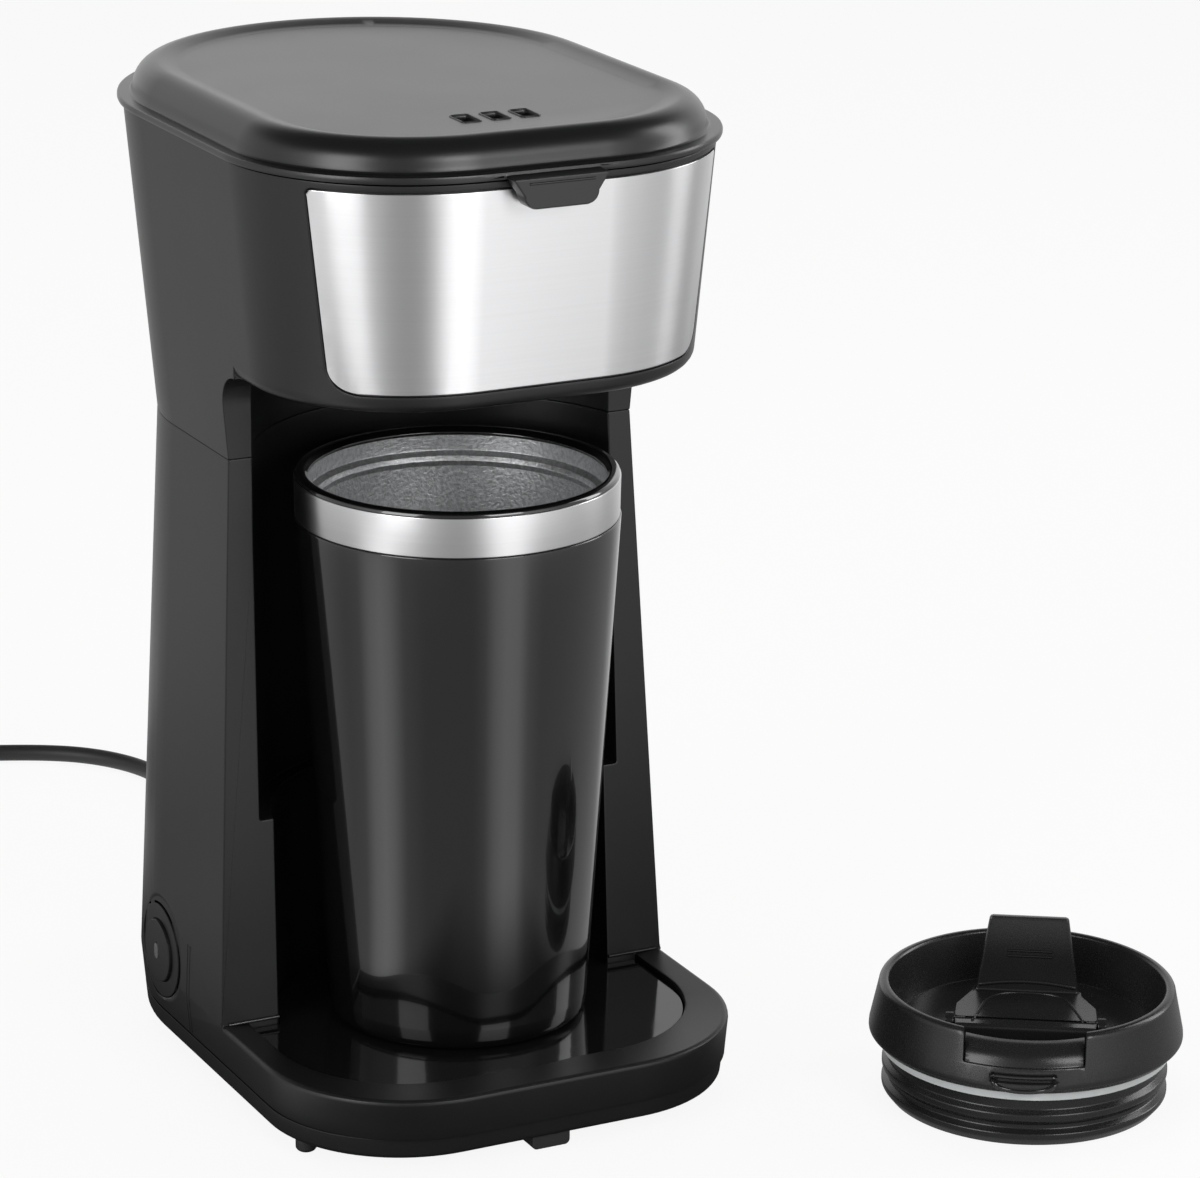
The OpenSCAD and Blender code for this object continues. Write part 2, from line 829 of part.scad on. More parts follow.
module lift_tab() {
    corner = 3.5;
    low = z_flange - tab_h;
    narrow = tab_w / 2 - 3;
    y = -head_front - 1;
    translate([0, y, 0])
        rotate([90, 0, 0])
            linear_extrude(tab_t) {
                polygon([
                    [-narrow, low + corner], [narrow, low + corner],
                    [tab_w / 2, z_flange + flange_t / 2], [-tab_w / 2, z_flange + flange_t / 2]
                ]);
                translate([corner - narrow, low]) square([2 * (narrow - corner), corner]);
                for (x = [corner - narrow, narrow - corner])
                    translate([x, low + corner]) circle(corner);
            }
}

module spray_channel() {
    low = nozzle_top + 2;
    ceiling = z_crown - dish_d - wall;
    t = 1.5;
    half = 4.8;
    end_r = half + 0.4;
    disc_r = 16;
    reach = sqrt(riser_x * riser_x + limb_out_y * limb_out_y);
    turn = atan2(limb_out_y, riser_x);
    color("#4a4a4c")
    at_machine()
        difference() {
            union() {
                rotate([0, 0, turn])
                    translate([0, -half, low]) cube([reach, 2 * half, ceiling - low]);
                translate([riser_x, limb_out_y, low]) cylinder(r = end_r, h = ceiling - low);
                translate([0, 0, low]) cylinder(r = disc_r, h = ceiling - low);
            }
            rotate([0, 0, turn])
                translate([0, t - half, low + t]) cube([reach, 2 * (half - t), ceiling]);
            translate([riser_x, limb_out_y, low + t]) cylinder(r = end_r - t, h = ceiling);
            translate([0, 0, low + t]) cylinder(r = disc_r - t, h = ceiling);
            post([riser_x, limb_out_y], nozzle_r - 1, low - cut, low + t + cut);
            for (i = [0:7])
                rotate([0, 0, i * 45]) post([10, 0], 1.2, low - cut, low + t + cut);
            post([0, 0], 1.2, low - cut, low + t + cut);
        }
}

module water_tank() {
    color("#8f9396")
    at_machine()
        difference() {
            union() {
                translate([0, 0, tank_bottom]) linear_extrude(tank_h) tank_outline(0, tank_front_r);
                post([feed_x, limb_in_y], spigot_r, tank_bottom - outlet_drop, tank_bottom + cut);
            }
            translate([0, 0, tank_bottom + tank_t])
                linear_extrude(tank_h) tank_outline(tank_t, tank_front_r);
            post([feed_x, limb_in_y], spigot_r - 0.8, tank_bottom - outlet_drop - cut, tank_top);
        }
}

module hose_ring() {
    difference() {
        circle(hose_r);
        circle(bore_r);
    }
}

module pipe(length) {
    linear_extrude(length) hose_ring();
}

// Level run out of the heater, a quarter bend and an upright run up to a height
module hose_run(at, high) {
    translate([at[0] + bend_r, at[1], water_z])
        rotate([0, 90, 0]) pipe(limb_x - at[0] - bend_r);
    translate([at[0] + bend_r, at[1], water_z + bend_r])
        rotate([90, 0, 0])
            rotate([0, 0, 180]) rotate_extrude(angle = 90) translate([bend_r, 0]) hose_ring();
    translate([at[0], at[1], water_z + bend_r]) pipe(high - water_z - bend_r);
}

module check_valve() {
    color("#d8d8d4")
    at_machine()
        difference() {
            union() {
                post([feed_x, limb_in_y], valve_r, valve_low, valve_top);
                post([feed_x, limb_in_y], spigot_r, valve_low - 6, valve_low + cut);
            }
            post([feed_x, limb_in_y], spigot_r - 0.8, valve_low - 7, valve_top + cut);
            post([feed_x, limb_in_y], valve_r - 1.5, valve_low + 3, valve_top - 3);
        }
}

module feed_hose() {
    color("#b9b4a8")
    at_machine() {
        hose_run([feed_x, limb_in_y], valve_low);
        translate([feed_x, limb_in_y, valve_top]) pipe(hose_join - valve_top);
    }
}

module riser_hose() {
    color("#b9b4a8")
    at_machine() hose_run([riser_x, limb_out_y], z_deck - wall - 2);
}

module riser_nozzle() {
    low = z_deck - wall - 8;
    color("#4a4a4c")
    at_machine()
        difference() {
            union() {
                post([riser_x, limb_out_y], nozzle_r, z_deck - wall - 2, nozzle_top);
                post([riser_x, limb_out_y], nozzle_r + 0.4, z_deck, z_deck + 1.5);
                post([riser_x, limb_out_y], spigot_r, low, z_deck);
            }
            post([riser_x, limb_out_y], spigot_r - 0.8, low - cut, nozzle_top + cut);
        }
}

// U of the heater with a rectangular section
module heater_u(w, low, high) {
    for (y = [limb_in_y, limb_out_y])
        translate([limb_x, y - w / 2, low]) cube([heater_l, w, high - low]);
    translate([limb_x + heater_l, heater_y, low])
        rotate([0, 0, -90])
            rotate_extrude(angle = 180)
                translate([heater_r - w / 2, 0]) square([w, high - low]);
}

module heater_block() {
    color("#a9abad")
    at_machine()
        difference() {
            union() {
                heater_u(heater_w, heater_z, heater_z + heater_h);
                for (y = [limb_in_y, limb_out_y])
                    translate([limb_x - stub_l, y, water_z])
                        rotate([0, 90, 0]) cylinder(r = spigot_r, h = stub_l + cut);
            }
            for (y = [limb_in_y, limb_out_y])
                translate([limb_x - stub_l - cut, y, water_z])
                    rotate([0, 90, 0]) cylinder(r = spigot_r - 0.8, h = heater_l + stub_l + cut);
            for (y = [limb_in_y, limb_out_y])
                translate([limb_x - cut, y, element_z]) rotate([0, 90, 0]) cylinder(r = element_r, h = heater_l);
        }
}

module heater_element() {
    color("#77797b")
    at_machine()
        for (y = [limb_in_y, limb_out_y])
            translate([limb_x - 4, y, element_z])
                rotate([0, 90, 0]) {
                    cylinder(r = element_r, h = heater_l + 4 - cut);
                    translate([0, 0, -6]) cylinder(r = 1.5, h = 6.5);
                }
}

module heater_bracket() {
    color("#b4b6b8")
    at_machine()
        difference() {
            translate([-slot_step, heater_y - heater_r - 8, bracket_z])
                cube([4 * slot_step, 2 * heater_r + 16, bracket_t]);
            for (p = bracket_posts) post(p, 1.4, bracket_z - cut, heater_z + cut);
        }
}

module thermostat() {
    top = heater_z + heater_h;
    color("#c8c8c8")
    at_machine() {
        translate([6, heater_y, top]) cylinder(r = 9, h = 1);
        translate([6, heater_y, top + 1]) cylinder(r = 8, h = 7);
        translate([0, heater_y - heater_r - 3, top]) cube([12, 2 * heater_r + 6, 1]);
        for (y = [-5, 5]) translate([4, heater_y + y - 0.4, top + 8]) cube([5, 0.8, 7]);
    }
}

module thermal_fuse() {
    color("#d0b060")
    at_machine()
        translate([14, limb_in_y, heater_z + heater_h + 2]) rotate([0, 90, 0]) {
            cylinder(r = 2, h = 12);
            translate([0, 0, -8]) cylinder(r = 0.6, h = 28);
        }
}

// Everything inside the rounded back half of the body at the switch
module inside_back(inset) {
    linear_extrude(z_top) {
        translate([0, back_y]) circle(switch_x - inset);
        translate([inset - switch_x, 0]) square([2 * (switch_x - inset), back_y]);
    }
}

module switch_bezel() {
    color("#333335")
    at_machine()
        intersection() {
            switch_axis()
                difference() {
                    union() {
                        translate([0, 0, bezel_in]) cylinder(r = bezel_r, h = bezel_seat - bezel_in);
                        translate([0, 0, bezel_in])
                            cylinder(r = bezel_r - 1 - run_fit, h = bezel_depth - bezel_in);
                    }
                    cylinder(r = button_r + run_fit, h = bezel_depth + cut);
                }
            inside_back(bezel_in / 3);
        }
}

module switch_button() {
    color("#3b3b3d")
    at_machine()
        switch_axis()
            difference() {
                union() {
                    cylinder(r = button_r, h = button_depth);
                    cylinder(r = stem_r, h = bezel_depth + 5);
                }
                translate([0, 0, -cut]) lens_shape(cut + 1);
            }
}

module lens_shape(h) {
    linear_extrude(h) {
        circle(1.2, $fn = 48);
        for (x = [-1, 1]) translate([x, 0]) circle(1.2, $fn = 48);
        square([2, 2.4], center = true);
    }
}

module switch_lens() {
    color("#606264")
    at_machine() switch_axis() translate([0, 0, -0.2]) lens_shape(1.2);
}

module switch_body() {
    start = bezel_depth;
    color("#1f1f20")
    at_machine()
        switch_axis() {
            difference() {
                translate([-switch_w / 2, -switch_w / 2, start])
                    cube([switch_w, switch_w, switch_d]);
                translate([0, 0, start - cut]) cylinder(r = stem_r + run_fit, h = 5 + press + 2 * cut);
            }
            for (y = [-6, 6])
                translate([-2, y - 0.4, start + switch_d]) cube([4, 0.8, 7]);
        }
}

module screw(at, low, length) {
    post(at, screw_head_d / 2, low, low + screw_head_h);
    post(at, screw_d / 2, low + screw_head_h - 0.1, low + screw_head_h + length);
}

module socketed_screw(at, low, length) {
    difference() {
        screw(at, low, length);
        translate([at[0] - 1.8, at[1] - 0.4, low - cut]) cube([3.6, 0.8, cut + 1]);
        translate([at[0] - 0.4, at[1] - 1.8, low - cut]) cube([0.8, 3.6, cut + 1]);
    }
}

module cover_screws() {
    color("#8a8c8e")
    at_machine() for (p = cover_posts) socketed_screw(p, z_cover, cover_screw_l - screw_head_h);
}

module bracket_screws() {
    color("#8a8c8e")
    at_machine()
        for (p = bracket_posts) {
            post(p, 2.4, heater_z, heater_z + 1.8);
            post(p, 1.2, heater_z - 7, heater_z + 0.1);
        }
}

module head_screws() {
    color("#8a8c8e")
    at_machine()
        for (p = head_posts) socketed_screw(p, z_head - 22 - screw_head_h, head_screw_l + 10);
}

module cord_bush() {
    inner = base_seam_r - wall + base_core[0];
    flange = 5.6;
    inner_y = back_y + sqrt(inner * inner - flange * flange) - 2;
    color("#1d1d1e")
    at_machine()
        difference() {
            translate([0, 0, exit_z])
                rotate([-90, 0, 0]) {
                    translate([0, 0, inner_y]) cylinder(r = flange, h = 2);
                    translate([0, 0, inner_y]) cylinder(r = 5 - run_fit, h = exit_y + 1.2 - inner_y);
                    translate([0, 0, exit_y + 0.9]) cylinder(r = 5.8, h = 1.1);
                }
            translate([0, inner_y - cut, exit_z])
                rotate([-90, 0, 0]) cylinder(r = cord_d / 2, h = exit_y - inner_y + 4);
        }
}

module strain_relief() {
    start = exit_y + 2;
    color("#1d1d1e")
    at_machine()
        translate([0, start, exit_z])
            rotate([-90, 0, 0])
                difference() {
                    cylinder(r1 = 5, r2 = cord_d / 2 + 0.8, h = relief_l);
                    for (i = [1:5])
                        translate([0, 0, i * relief_l / 6])
                            difference() {
                                cylinder(r = 7, h = 1.6);
                                translate([0, 0, -cut]) cylinder(r = cord_d / 2 + 0.9, h = 4);
                            }
                }
}

// Tube swept along a route: rings of points joined by side faces and closed by two ends
function unit(v) = v / norm(v);
function heading(route, i) =
    unit(route[min(i + 1, len(route) - 1)] - route[max(i - 1, 0)]);
function ring(route, i, r, n) =
    let (
        d = heading(route, i),
        side = unit(cross(d, [0, 0, 1])),
        up = cross(side, d)
    )
    [for (k = [0:n - 1]) route[i] + r * (cos(360 * k / n) * side + sin(360 * k / n) * up)];

module tube(route, r, n) {
    last = len(route) - 1;
    polyhedron(
        points = [for (i = [0:last]) each ring(route, i, r, n)],
        faces = concat(
            [[for (k = [0:n - 1]) k]],
            [for (i = [0:last - 1]) for (k = [0:n - 1]) let (j = (k + 1) % n)
                [i * n + j, i * n + k, (i + 1) * n + k, (i + 1) * n + j]],
            [[for (k = [0:n - 1]) last * n + n - 1 - k]]
        )
    );
}

module cord() {
    sides = 10;
    r = cord_d / 2 / cos(180 / sides);
    start = [[0, exit_y + relief_l, exit_z]];
    color("#1d1d1e")
    at_machine() {
        tube(concat(start, lead_route), r * 0.97, sides);
        tube(tail_route, r * 0.97, sides);
    }
}

module cord_coil() {
    color("#1d1d1e")
    at_machine()
        translate([coil_at[0], coil_at[1], 0])
            rotate_extrude()
                translate([coil_r - coil_half, 0]) square([2 * coil_half, 2 * cord_d]);
}

module plug_body() {
    color("#1d1d1e")
    at_machine()
        translate(plug_at)
            rotate([90, 0, 0]) {
                cylinder(r1 = cord_d / 2 + 0.6, r2 = 5, h = plug_neck);
                translate([0, 0, plug_neck])
                    linear_extrude(plug_l) {
                        square([plug_w - plug_t, plug_t], center = true);
                        for (x = [-1, 1]) translate([x * (plug_w - plug_t) / 2, 0]) circle(plug_t / 2);
                    }
            }
}

module plug_pins() {
    color("#c9cacc")
    at_machine()
        translate(plug_at)
            rotate([90, 0, 0])
                for (x = [-1, 1])
                    translate([x * plug_pin_gap / 2, 0, plug_neck + plug_l]) {
                        cylinder(r = plug_pin_d / 2, h = plug_pin_l - 1);
                        translate([0, 0, plug_pin_l - 1])
                            cylinder(r1 = plug_pin_d / 2, r2 = plug_pin_d / 2 - 0.8, h = 1);
                    }
}

module hinge_pin() {
    color("#b4b6b8")
    at_machine() hinge_bore(barrel_half + barrel_fix, pin_d / 2);
}

module filter_basket() {
    low = z_deck - basket_h;
    t = 1.8;
    color("#2c2c2e")
    at_machine()
        difference() {
            union() {
                translate([0, 0, z_deck + 0.1]) cylinder(r = well_r + 0.9, h = 2);
                translate([0, 0, low]) cylinder(r1 = basket_floor_r, r2 = basket_r, h = basket_h + 1);
                translate([0, 0, low - outlet_l]) cylinder(r = outlet_bore / 2 + 1.8, h = outlet_l + cut);
            }
            translate([0, 0, low + t])
                cylinder(r1 = basket_floor_r - t, r2 = basket_r - t + 0.4, h = basket_h + 1);
            post([0, 0], outlet_bore / 2, low - outlet_l - cut, low + t + cut);
        }
}

module filter_frame() {
    top = z_deck + 2.1;
    low = z_deck - basket_h + 4;
    color("#3b3b3d")
    at_machine() {
        difference() {
            translate([0, 0, top]) cylinder(r = basket_r, h = 2);
            translate([0, 0, top - cut]) cylinder(r = basket_r - 5, h = 4);
        }
        difference() {
            translate([0, 0, top - 4]) cylinder(r = basket_r - 3.9, h = 4.5);
            translate([0, 0, top - 5]) cylinder(r = basket_r - 5, h = 8);
        }
        translate([0, 0, low]) cylinder(r = basket_floor_r - 6, h = 1.5);
        for (a = [0, 90, 180, 270])
            rotate([0, 0, a + 45]) frame_rib(low, top);
        // Finger tab that lifts the filter
        translate([-6, -basket_r + 0.5, top + 1]) cube([12, 2, 8]);
    }
}

// Sloping rib of the permanent filter
module frame_rib(low, top) {
    rotate([90, 0, 0])
        linear_extrude(2, center = true)
            polygon([
                [basket_floor_r - 8, low], [basket_floor_r - 6, low],
                [basket_r - 4, top], [basket_r - 6, top]
            ]);
}

module filter_mesh() {
    top = z_deck - 2;
    low = z_deck - basket_h + 5.5;
    t = 0.6;
    foot = basket_floor_r - 8.6;
    mouth = basket_r - 8.6;
    color("#c9b27a")
    at_machine()
        difference() {
            translate([0, 0, low]) cylinder(r1 = foot, r2 = mouth, h = top - low);
            translate([0, 0, low + t]) cylinder(r1 = foot - t, r2 = mouth - t, h = top - low);
        }
}

module mug_shell() {
    edge = 4;
    slope = (mug_r - mug_foot_r) / band_low;
    color("#111113")
    at_machine()
        translate([0, 0, z_mug])
            rotate_extrude()
                polygon(concat(
                    [[0, 1.2], [foot_r_in(), 1.2], [foot_r_in(), 0]],
                    arc(mug_foot_r - edge + slope * edge, edge, edge, -90, 0, 6),
                    [
                        [mug_r, band_low], [mug_r - shell_t, band_low],
                        [mug_foot_r - shell_t + slope * edge, 4 + foot_pad_t], [0, 4 + foot_pad_t]
                    ]
                ));
}

function foot_r_in() = mug_foot_r - 7;

module mug_foot() {
    color("#1d1d1e")
    at_machine() translate([0, 0, z_mug]) cylinder(r = foot_r_in() - 0.1, h = foot_pad_t);
}

module mug_liner() {
    low = 8;
    ledge = mug_h - thread_zone;
    step = 1.6;
    t = liner_t;
    color("#a5a6a8")
    at_machine()
        translate([0, 0, z_mug])
            rotate_extrude()
                polygon([
                    [0, low], [liner_foot_r, low], [liner_foot_r + 3, low + 3],
                    [liner_r - step, ledge - t], [liner_r, ledge], [liner_r, mug_h - 2],
                    [mouth_r, mug_h - 2], [mouth_r, ledge + t], [mouth_r - step, ledge],
                    [liner_foot_r + 2, low + 3 + t], [liner_foot_r - 1, low + t], [0, low + t]
                ]);
}

module mug_band() {
    color("#c4c5c7")
    at_machine()
        translate([0, 0, z_mug])
            rotate_extrude()
                polygon(concat(
                    [
                        [liner_r, mug_h - 2], [liner_r, band_low + 4],
                        [mug_r - shell_t, band_low], [band_r, band_low]
                    ],
                    arc(band_r - lip_r, mug_h - lip_r, lip_r, 0, 90, 6),
                    arc(mouth_r + 1.5, mug_h - 1.5, 1.5, 90, 180, 5),
                    [[mouth_r, mug_h - 2]]
                ));
}

module lid_stopper() {
    t = 2;
    color("#1a1a1b")
    at_lid()
        rotate_extrude()
            polygon([
                [rib_r - 1.9 - t, 0], [rib_r - 1.9, 0], [rib_r - 0.6, 1.6], [rib_r, 2.4],
                [rib_r, 3.8], [rib_r - 1.6, 4.8], [rib_r - 1.6, 6], [rib_r, 7.6], [rib_r, 9.2],
                [rib_r - 1.4, 10.4], [rib_r - 1.4, collar_low - seal_h - 0.6],
                [neck_r, collar_low - seal_h - 0.6], [neck_r, collar_low], [neck_r - 3, collar_low],
                [rib_r - 1.9 - t, collar_low - 4]
            ]);
}

module lid_seal() {
    color("#bfc1c1")
    at_lid()
        difference() {
            translate([0, 0, collar_low - seal_h - 0.55]) cylinder(r = seal_r, h = seal_h + 0.5);
            translate([0, 0, collar_low - seal_h - cut]) cylinder(r = neck_r, h = seal_h + 2 * cut);
        }
}

// Plan of the flip cap, and of the room it lies in when grown by a gap
module cap_plan(gap) {
    front = -cap_pin_y - cap_nose - gap;
    back = cap_l - cap_pin_y - 1 + gap;
    polygon([
        [-cap_half - gap, front], [cap_half + gap, front], [cap_half + gap, 1],
        [cap_back_half + gap, back], [-cap_back_half - gap, back], [-cap_half - gap, 1]
    ]);
}

// Rounded spout behind the notch
module spout_hump() {
    r = 6;
    centre_r = collar_r - 1.5 - r;
    low = lid_floor - cut;
    intersection() {
        rotate_extrude()
            polygon(concat(
                [[centre_r - 1.3, low], [centre_r - 1.3, hump_z]],
                arc(centre_r, hump_z - r, r, 90, 5, 8),
                [[centre_r + r - 0.1, low]]
            ));
        translate([fit - notch_w / 2, -body_w, 0]) cube([notch_w - 2 * fit, body_w, hump_z + cut]);
    }
}

module lid_collar() {
    ear_t = 2.2;
    ear_x = cap_half + fit + ear_t / 2;
    top_r = collar_r - 4;
    color("#1e1e20")
    at_lid() {
        difference() {
            union() {
                rotate_extrude()
                    polygon(concat(
                        [
                            [0, collar_low], [collar_r - 1.7, collar_low], [collar_r, collar_low + 1.8],
                            [collar_r - 0.1, collar_low + 3.2]
                        ],
                        arc(top_r, collar_top - 1.6, 1.6, 0, 90, 5),
                        [
                            [collar_in + 0.6, collar_top], [collar_in, collar_top - 0.6],
                            [collar_in - 2.5, lid_floor], [0, lid_floor]
                        ]
                    ));
                // Tub that the flip cap lies in
                intersection() {
                    cylinder(r = tub_r, h = lid_floor);
                    translate([-cap_half - 2, -tub_r, tub_floor])
                        cube([2 * cap_half + 4, tub_r + cap_l - cap_pin_y + 2, collar_h]);
                }
                for (x = [-1, 1])
                    translate([x * ear_x, -cap_pin_y, lid_floor - 1]) pin_ear_block(ear_t);
            }
            // Room of the flip cap and the well in front of it
            translate([0, 0, pocket_floor]) linear_extrude(collar_h) cap_plan(fit);
            intersection() {
                cylinder(r = tub_r - 1.5, h = collar_top + cut);
                translate([-notch_w / 2, -tub_r, pocket_floor])
                    cube([notch_w, tub_r - cap_pin_y, collar_h]);
            }
            // Notch over the spout and the thumb hollow under it
            translate([-notch_w / 2, -collar_r - 1, notch_z]) cube([notch_w, 12, collar_h]);
            translate([0, -collar_r - 6, notch_z - 4]) cylinder(r = 11.5, h = 2.6);
            // Drinking opening
            translate([-6, -cap_pin_y - 12, tub_floor - cut])
                cube([12, 5, lid_floor - tub_floor + 2 * cut]);
            translate([0, -cap_pin_y, cap_pin_z])
                rotate([0, 90, 0]) cylinder(r = cap_pin_d / 2, h = 2 * notch_w, center = true);
        }
        spout_hump();
    }
}

module pin_ear_block(t) {
    r = 2.4;
    translate([-t / 2, -r, 0]) cube([t, 2 * r, cap_pin_z - lid_floor + 1]);
    translate([-t / 2, 0, cap_pin_z - lid_floor + 1]) rotate([0, 90, 0]) cylinder(r = r, h = t);
}

module cap_pins() {
    color("#1a1a1b")
    at_lid()
        for (x = [-1, 1])
            translate([x * (cap_half - 0.2), -cap_pin_y, cap_pin_z])
                rotate([0, 90, 0]) cylinder(r = cap_pin_d / 2, h = 5, center = true);
}

// Side of the flip cap: its lower front edge is round about the pins
module cap_side() {
    nose = -cap_pin_y - cap_nose;
    low = cap_pin_z - cap_swing;
    dip = asin(cap_nose / cap_swing);
    polygon(concat(
        [[cap_l - cap_pin_y, cap_top], [nose + 0.8, cap_top], [nose, cap_top - 0.8]],
        arc(-cap_pin_y, cap_pin_z, cap_swing, 270 - dip, 270, 6),
        [[cap_l - cap_pin_y, low]]
    ));
}

module flip_cap() {
    lean = 3;
    color("#1b1b1d")
    at_lid()
        difference() {
            union() {
                intersection() {
                    rotate([90, 0, 90]) linear_extrude(2 * cap_half + 2, center = true) cap_side();
                    linear_extrude(collar_top) cap_plan(0);
                }
                // Upright tab, leaning back
                translate([0, cap_l - cap_pin_y - 3.5, cap_top])
                    rotate([90 - lean, 0, 0])
                        translate([0, 0, -3])
                            linear_extrude(3)
                                polygon([
                                    [-14.1, -1.5], [14.1, -1.5], [10.6, cap_tab_h], [-10.6, cap_tab_h]
                                ]);
            }
            translate([0, -cap_pin_y, cap_pin_z])
                rotate([0, 90, 0])
                    cylinder(r = cap_pin_d / 2 + run_fit, h = 2 * notch_w, center = true);
        }
}

body_shell();
bottom_cover();
feet();
cup_plate();
head_shell();
front_panel();
water_tank();
check_valve();
feed_hose();
heater_block();
heater_element();
heater_bracket();
thermostat();
thermal_fuse();
riser_hose();
riser_nozzle();
switch_bezel();
switch_body();
cover_screws();
head_screws();
bracket_screws();
cord_bush();
hinge_pin();
top_lid();
spray_channel();
filter_basket();
filter_frame();
filter_mesh();
switch_button();
switch_lens();
mug_shell();
mug_liner();
mug_band();
mug_foot();
lid_collar();
lid_stopper();
lid_seal();
cap_pins();
flip_cap();
strain_relief();
cord();
cord_coil();
plug_body();
plug_pins();
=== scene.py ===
import json
import math

import bmesh
import bpy
from mathutils import Matrix, Vector
from mathutils.bvhtree import BVHTree


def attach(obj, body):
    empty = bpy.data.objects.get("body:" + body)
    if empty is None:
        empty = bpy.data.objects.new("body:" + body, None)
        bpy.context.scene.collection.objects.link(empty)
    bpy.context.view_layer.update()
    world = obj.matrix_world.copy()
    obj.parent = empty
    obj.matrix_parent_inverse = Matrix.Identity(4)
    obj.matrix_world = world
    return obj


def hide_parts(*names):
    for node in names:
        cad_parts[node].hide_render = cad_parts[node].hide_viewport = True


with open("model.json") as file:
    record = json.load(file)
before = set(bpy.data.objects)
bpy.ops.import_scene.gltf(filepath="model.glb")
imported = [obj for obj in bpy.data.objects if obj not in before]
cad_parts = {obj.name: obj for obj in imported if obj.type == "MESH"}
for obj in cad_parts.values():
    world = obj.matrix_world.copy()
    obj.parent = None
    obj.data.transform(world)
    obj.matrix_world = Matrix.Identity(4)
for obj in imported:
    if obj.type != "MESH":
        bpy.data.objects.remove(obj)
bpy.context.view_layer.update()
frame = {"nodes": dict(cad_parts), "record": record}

NODES = frame["nodes"]
MM = 0.001

# Middle of the mug bay on the floor: the machine's own sizes are given from here, in millimetres
MACHINE = Vector((-53.1, -2.1, 0.0))
# Middle of the mug lid's underside and its turn
MUG_LID = MACHINE + Vector((131.5, -79.3, 0.0))
LID_TURN = math.radians(-32.5)


def machine(x, y, z):
    """A point of the machine in the row frame, in metres."""
    return (MACHINE + Vector((x, y, z))) * MM


# ---------------------------------------------------------------- camera

LENS = 144
AZIMUTH, ELEVATION, ROLL = (math.radians(a) for a in (-27.0, 17.5, 0.49))
EYE = Vector((-0.56825, -1.09596, 0.51858))


def place_camera():
    data = bpy.data.cameras.new("view")
    data.lens = LENS
    data.sensor_width = 36
    data.clip_start, data.clip_end = 0.05, 20
    level = Vector((math.cos(AZIMUTH), math.sin(AZIMUTH), 0))
    ahead = Vector((-math.sin(AZIMUTH), math.cos(AZIMUTH), 0))
    up = Vector((0, 0, 1))
    forward = ahead * math.cos(ELEVATION) - up * math.sin(ELEVATION)
    upright = ahead * math.sin(ELEVATION) + up * math.cos(ELEVATION)
    right = level * math.cos(ROLL) + upright * math.sin(ROLL)
    top = upright * math.cos(ROLL) - level * math.sin(ROLL)
    camera = bpy.data.objects.new("camera", data)
    turn = Matrix((right, top, -forward)).transposed()
    camera.matrix_world = Matrix.Translation(EYE) @ turn.to_4x4()
    bpy.context.scene.collection.objects.link(camera)
    bpy.context.scene.camera = camera


place_camera()
bpy.context.scene.view_settings.view_transform = "Standard"


# ---------------------------------------------------------------- shader maths

class Field:
    """A socket of a material's nodes that takes part in Python expressions."""

    def __init__(self, tree, socket):
        self.tree = tree
        self.socket = socket

    def math(self, operation, *others):
        step = self.tree.nodes.new("ShaderNodeMath")
        step.operation = operation
        for slot, value in zip(step.inputs, (self, *others)):
            plug(self.tree, value, slot)
        return Field(self.tree, step.outputs[0])

    def swapped(self, operation, other):
        step = self.tree.nodes.new("ShaderNodeMath")
        step.operation = operation
        plug(self.tree, other, step.inputs[0])
        plug(self.tree, self, step.inputs[1])
        return Field(self.tree, step.outputs[0])

    def __add__(self, other):
        return self.math("ADD", other)

    def __radd__(self, other):
        return self.swapped("ADD", other)

    def __sub__(self, other):
        return self.math("SUBTRACT", other)

    def __rsub__(self, other):
        return self.swapped("SUBTRACT", other)

    def __mul__(self, other):
        return self.math("MULTIPLY", other)

    def __rmul__(self, other):
        return self.swapped("MULTIPLY", other)

    def __truediv__(self, other):
        return self.math("DIVIDE", other)

    def between(self, low, high):
        """0 below low, 1 above high and smooth between them."""
        step = self.tree.nodes.new("ShaderNodeMapRange")
        step.interpolation_type = "SMOOTHSTEP"
        plug(self.tree, self, step.inputs["Value"])
        step.inputs["From Min"].default_value = low
        step.inputs["From Max"].default_value = high
        return Field(self.tree, step.outputs["Result"])


def plug(tree, value, slot):
    if isinstance(value, Field):
        tree.links.new(value.socket, slot)
    elif value is not None:
        slot.default_value = value


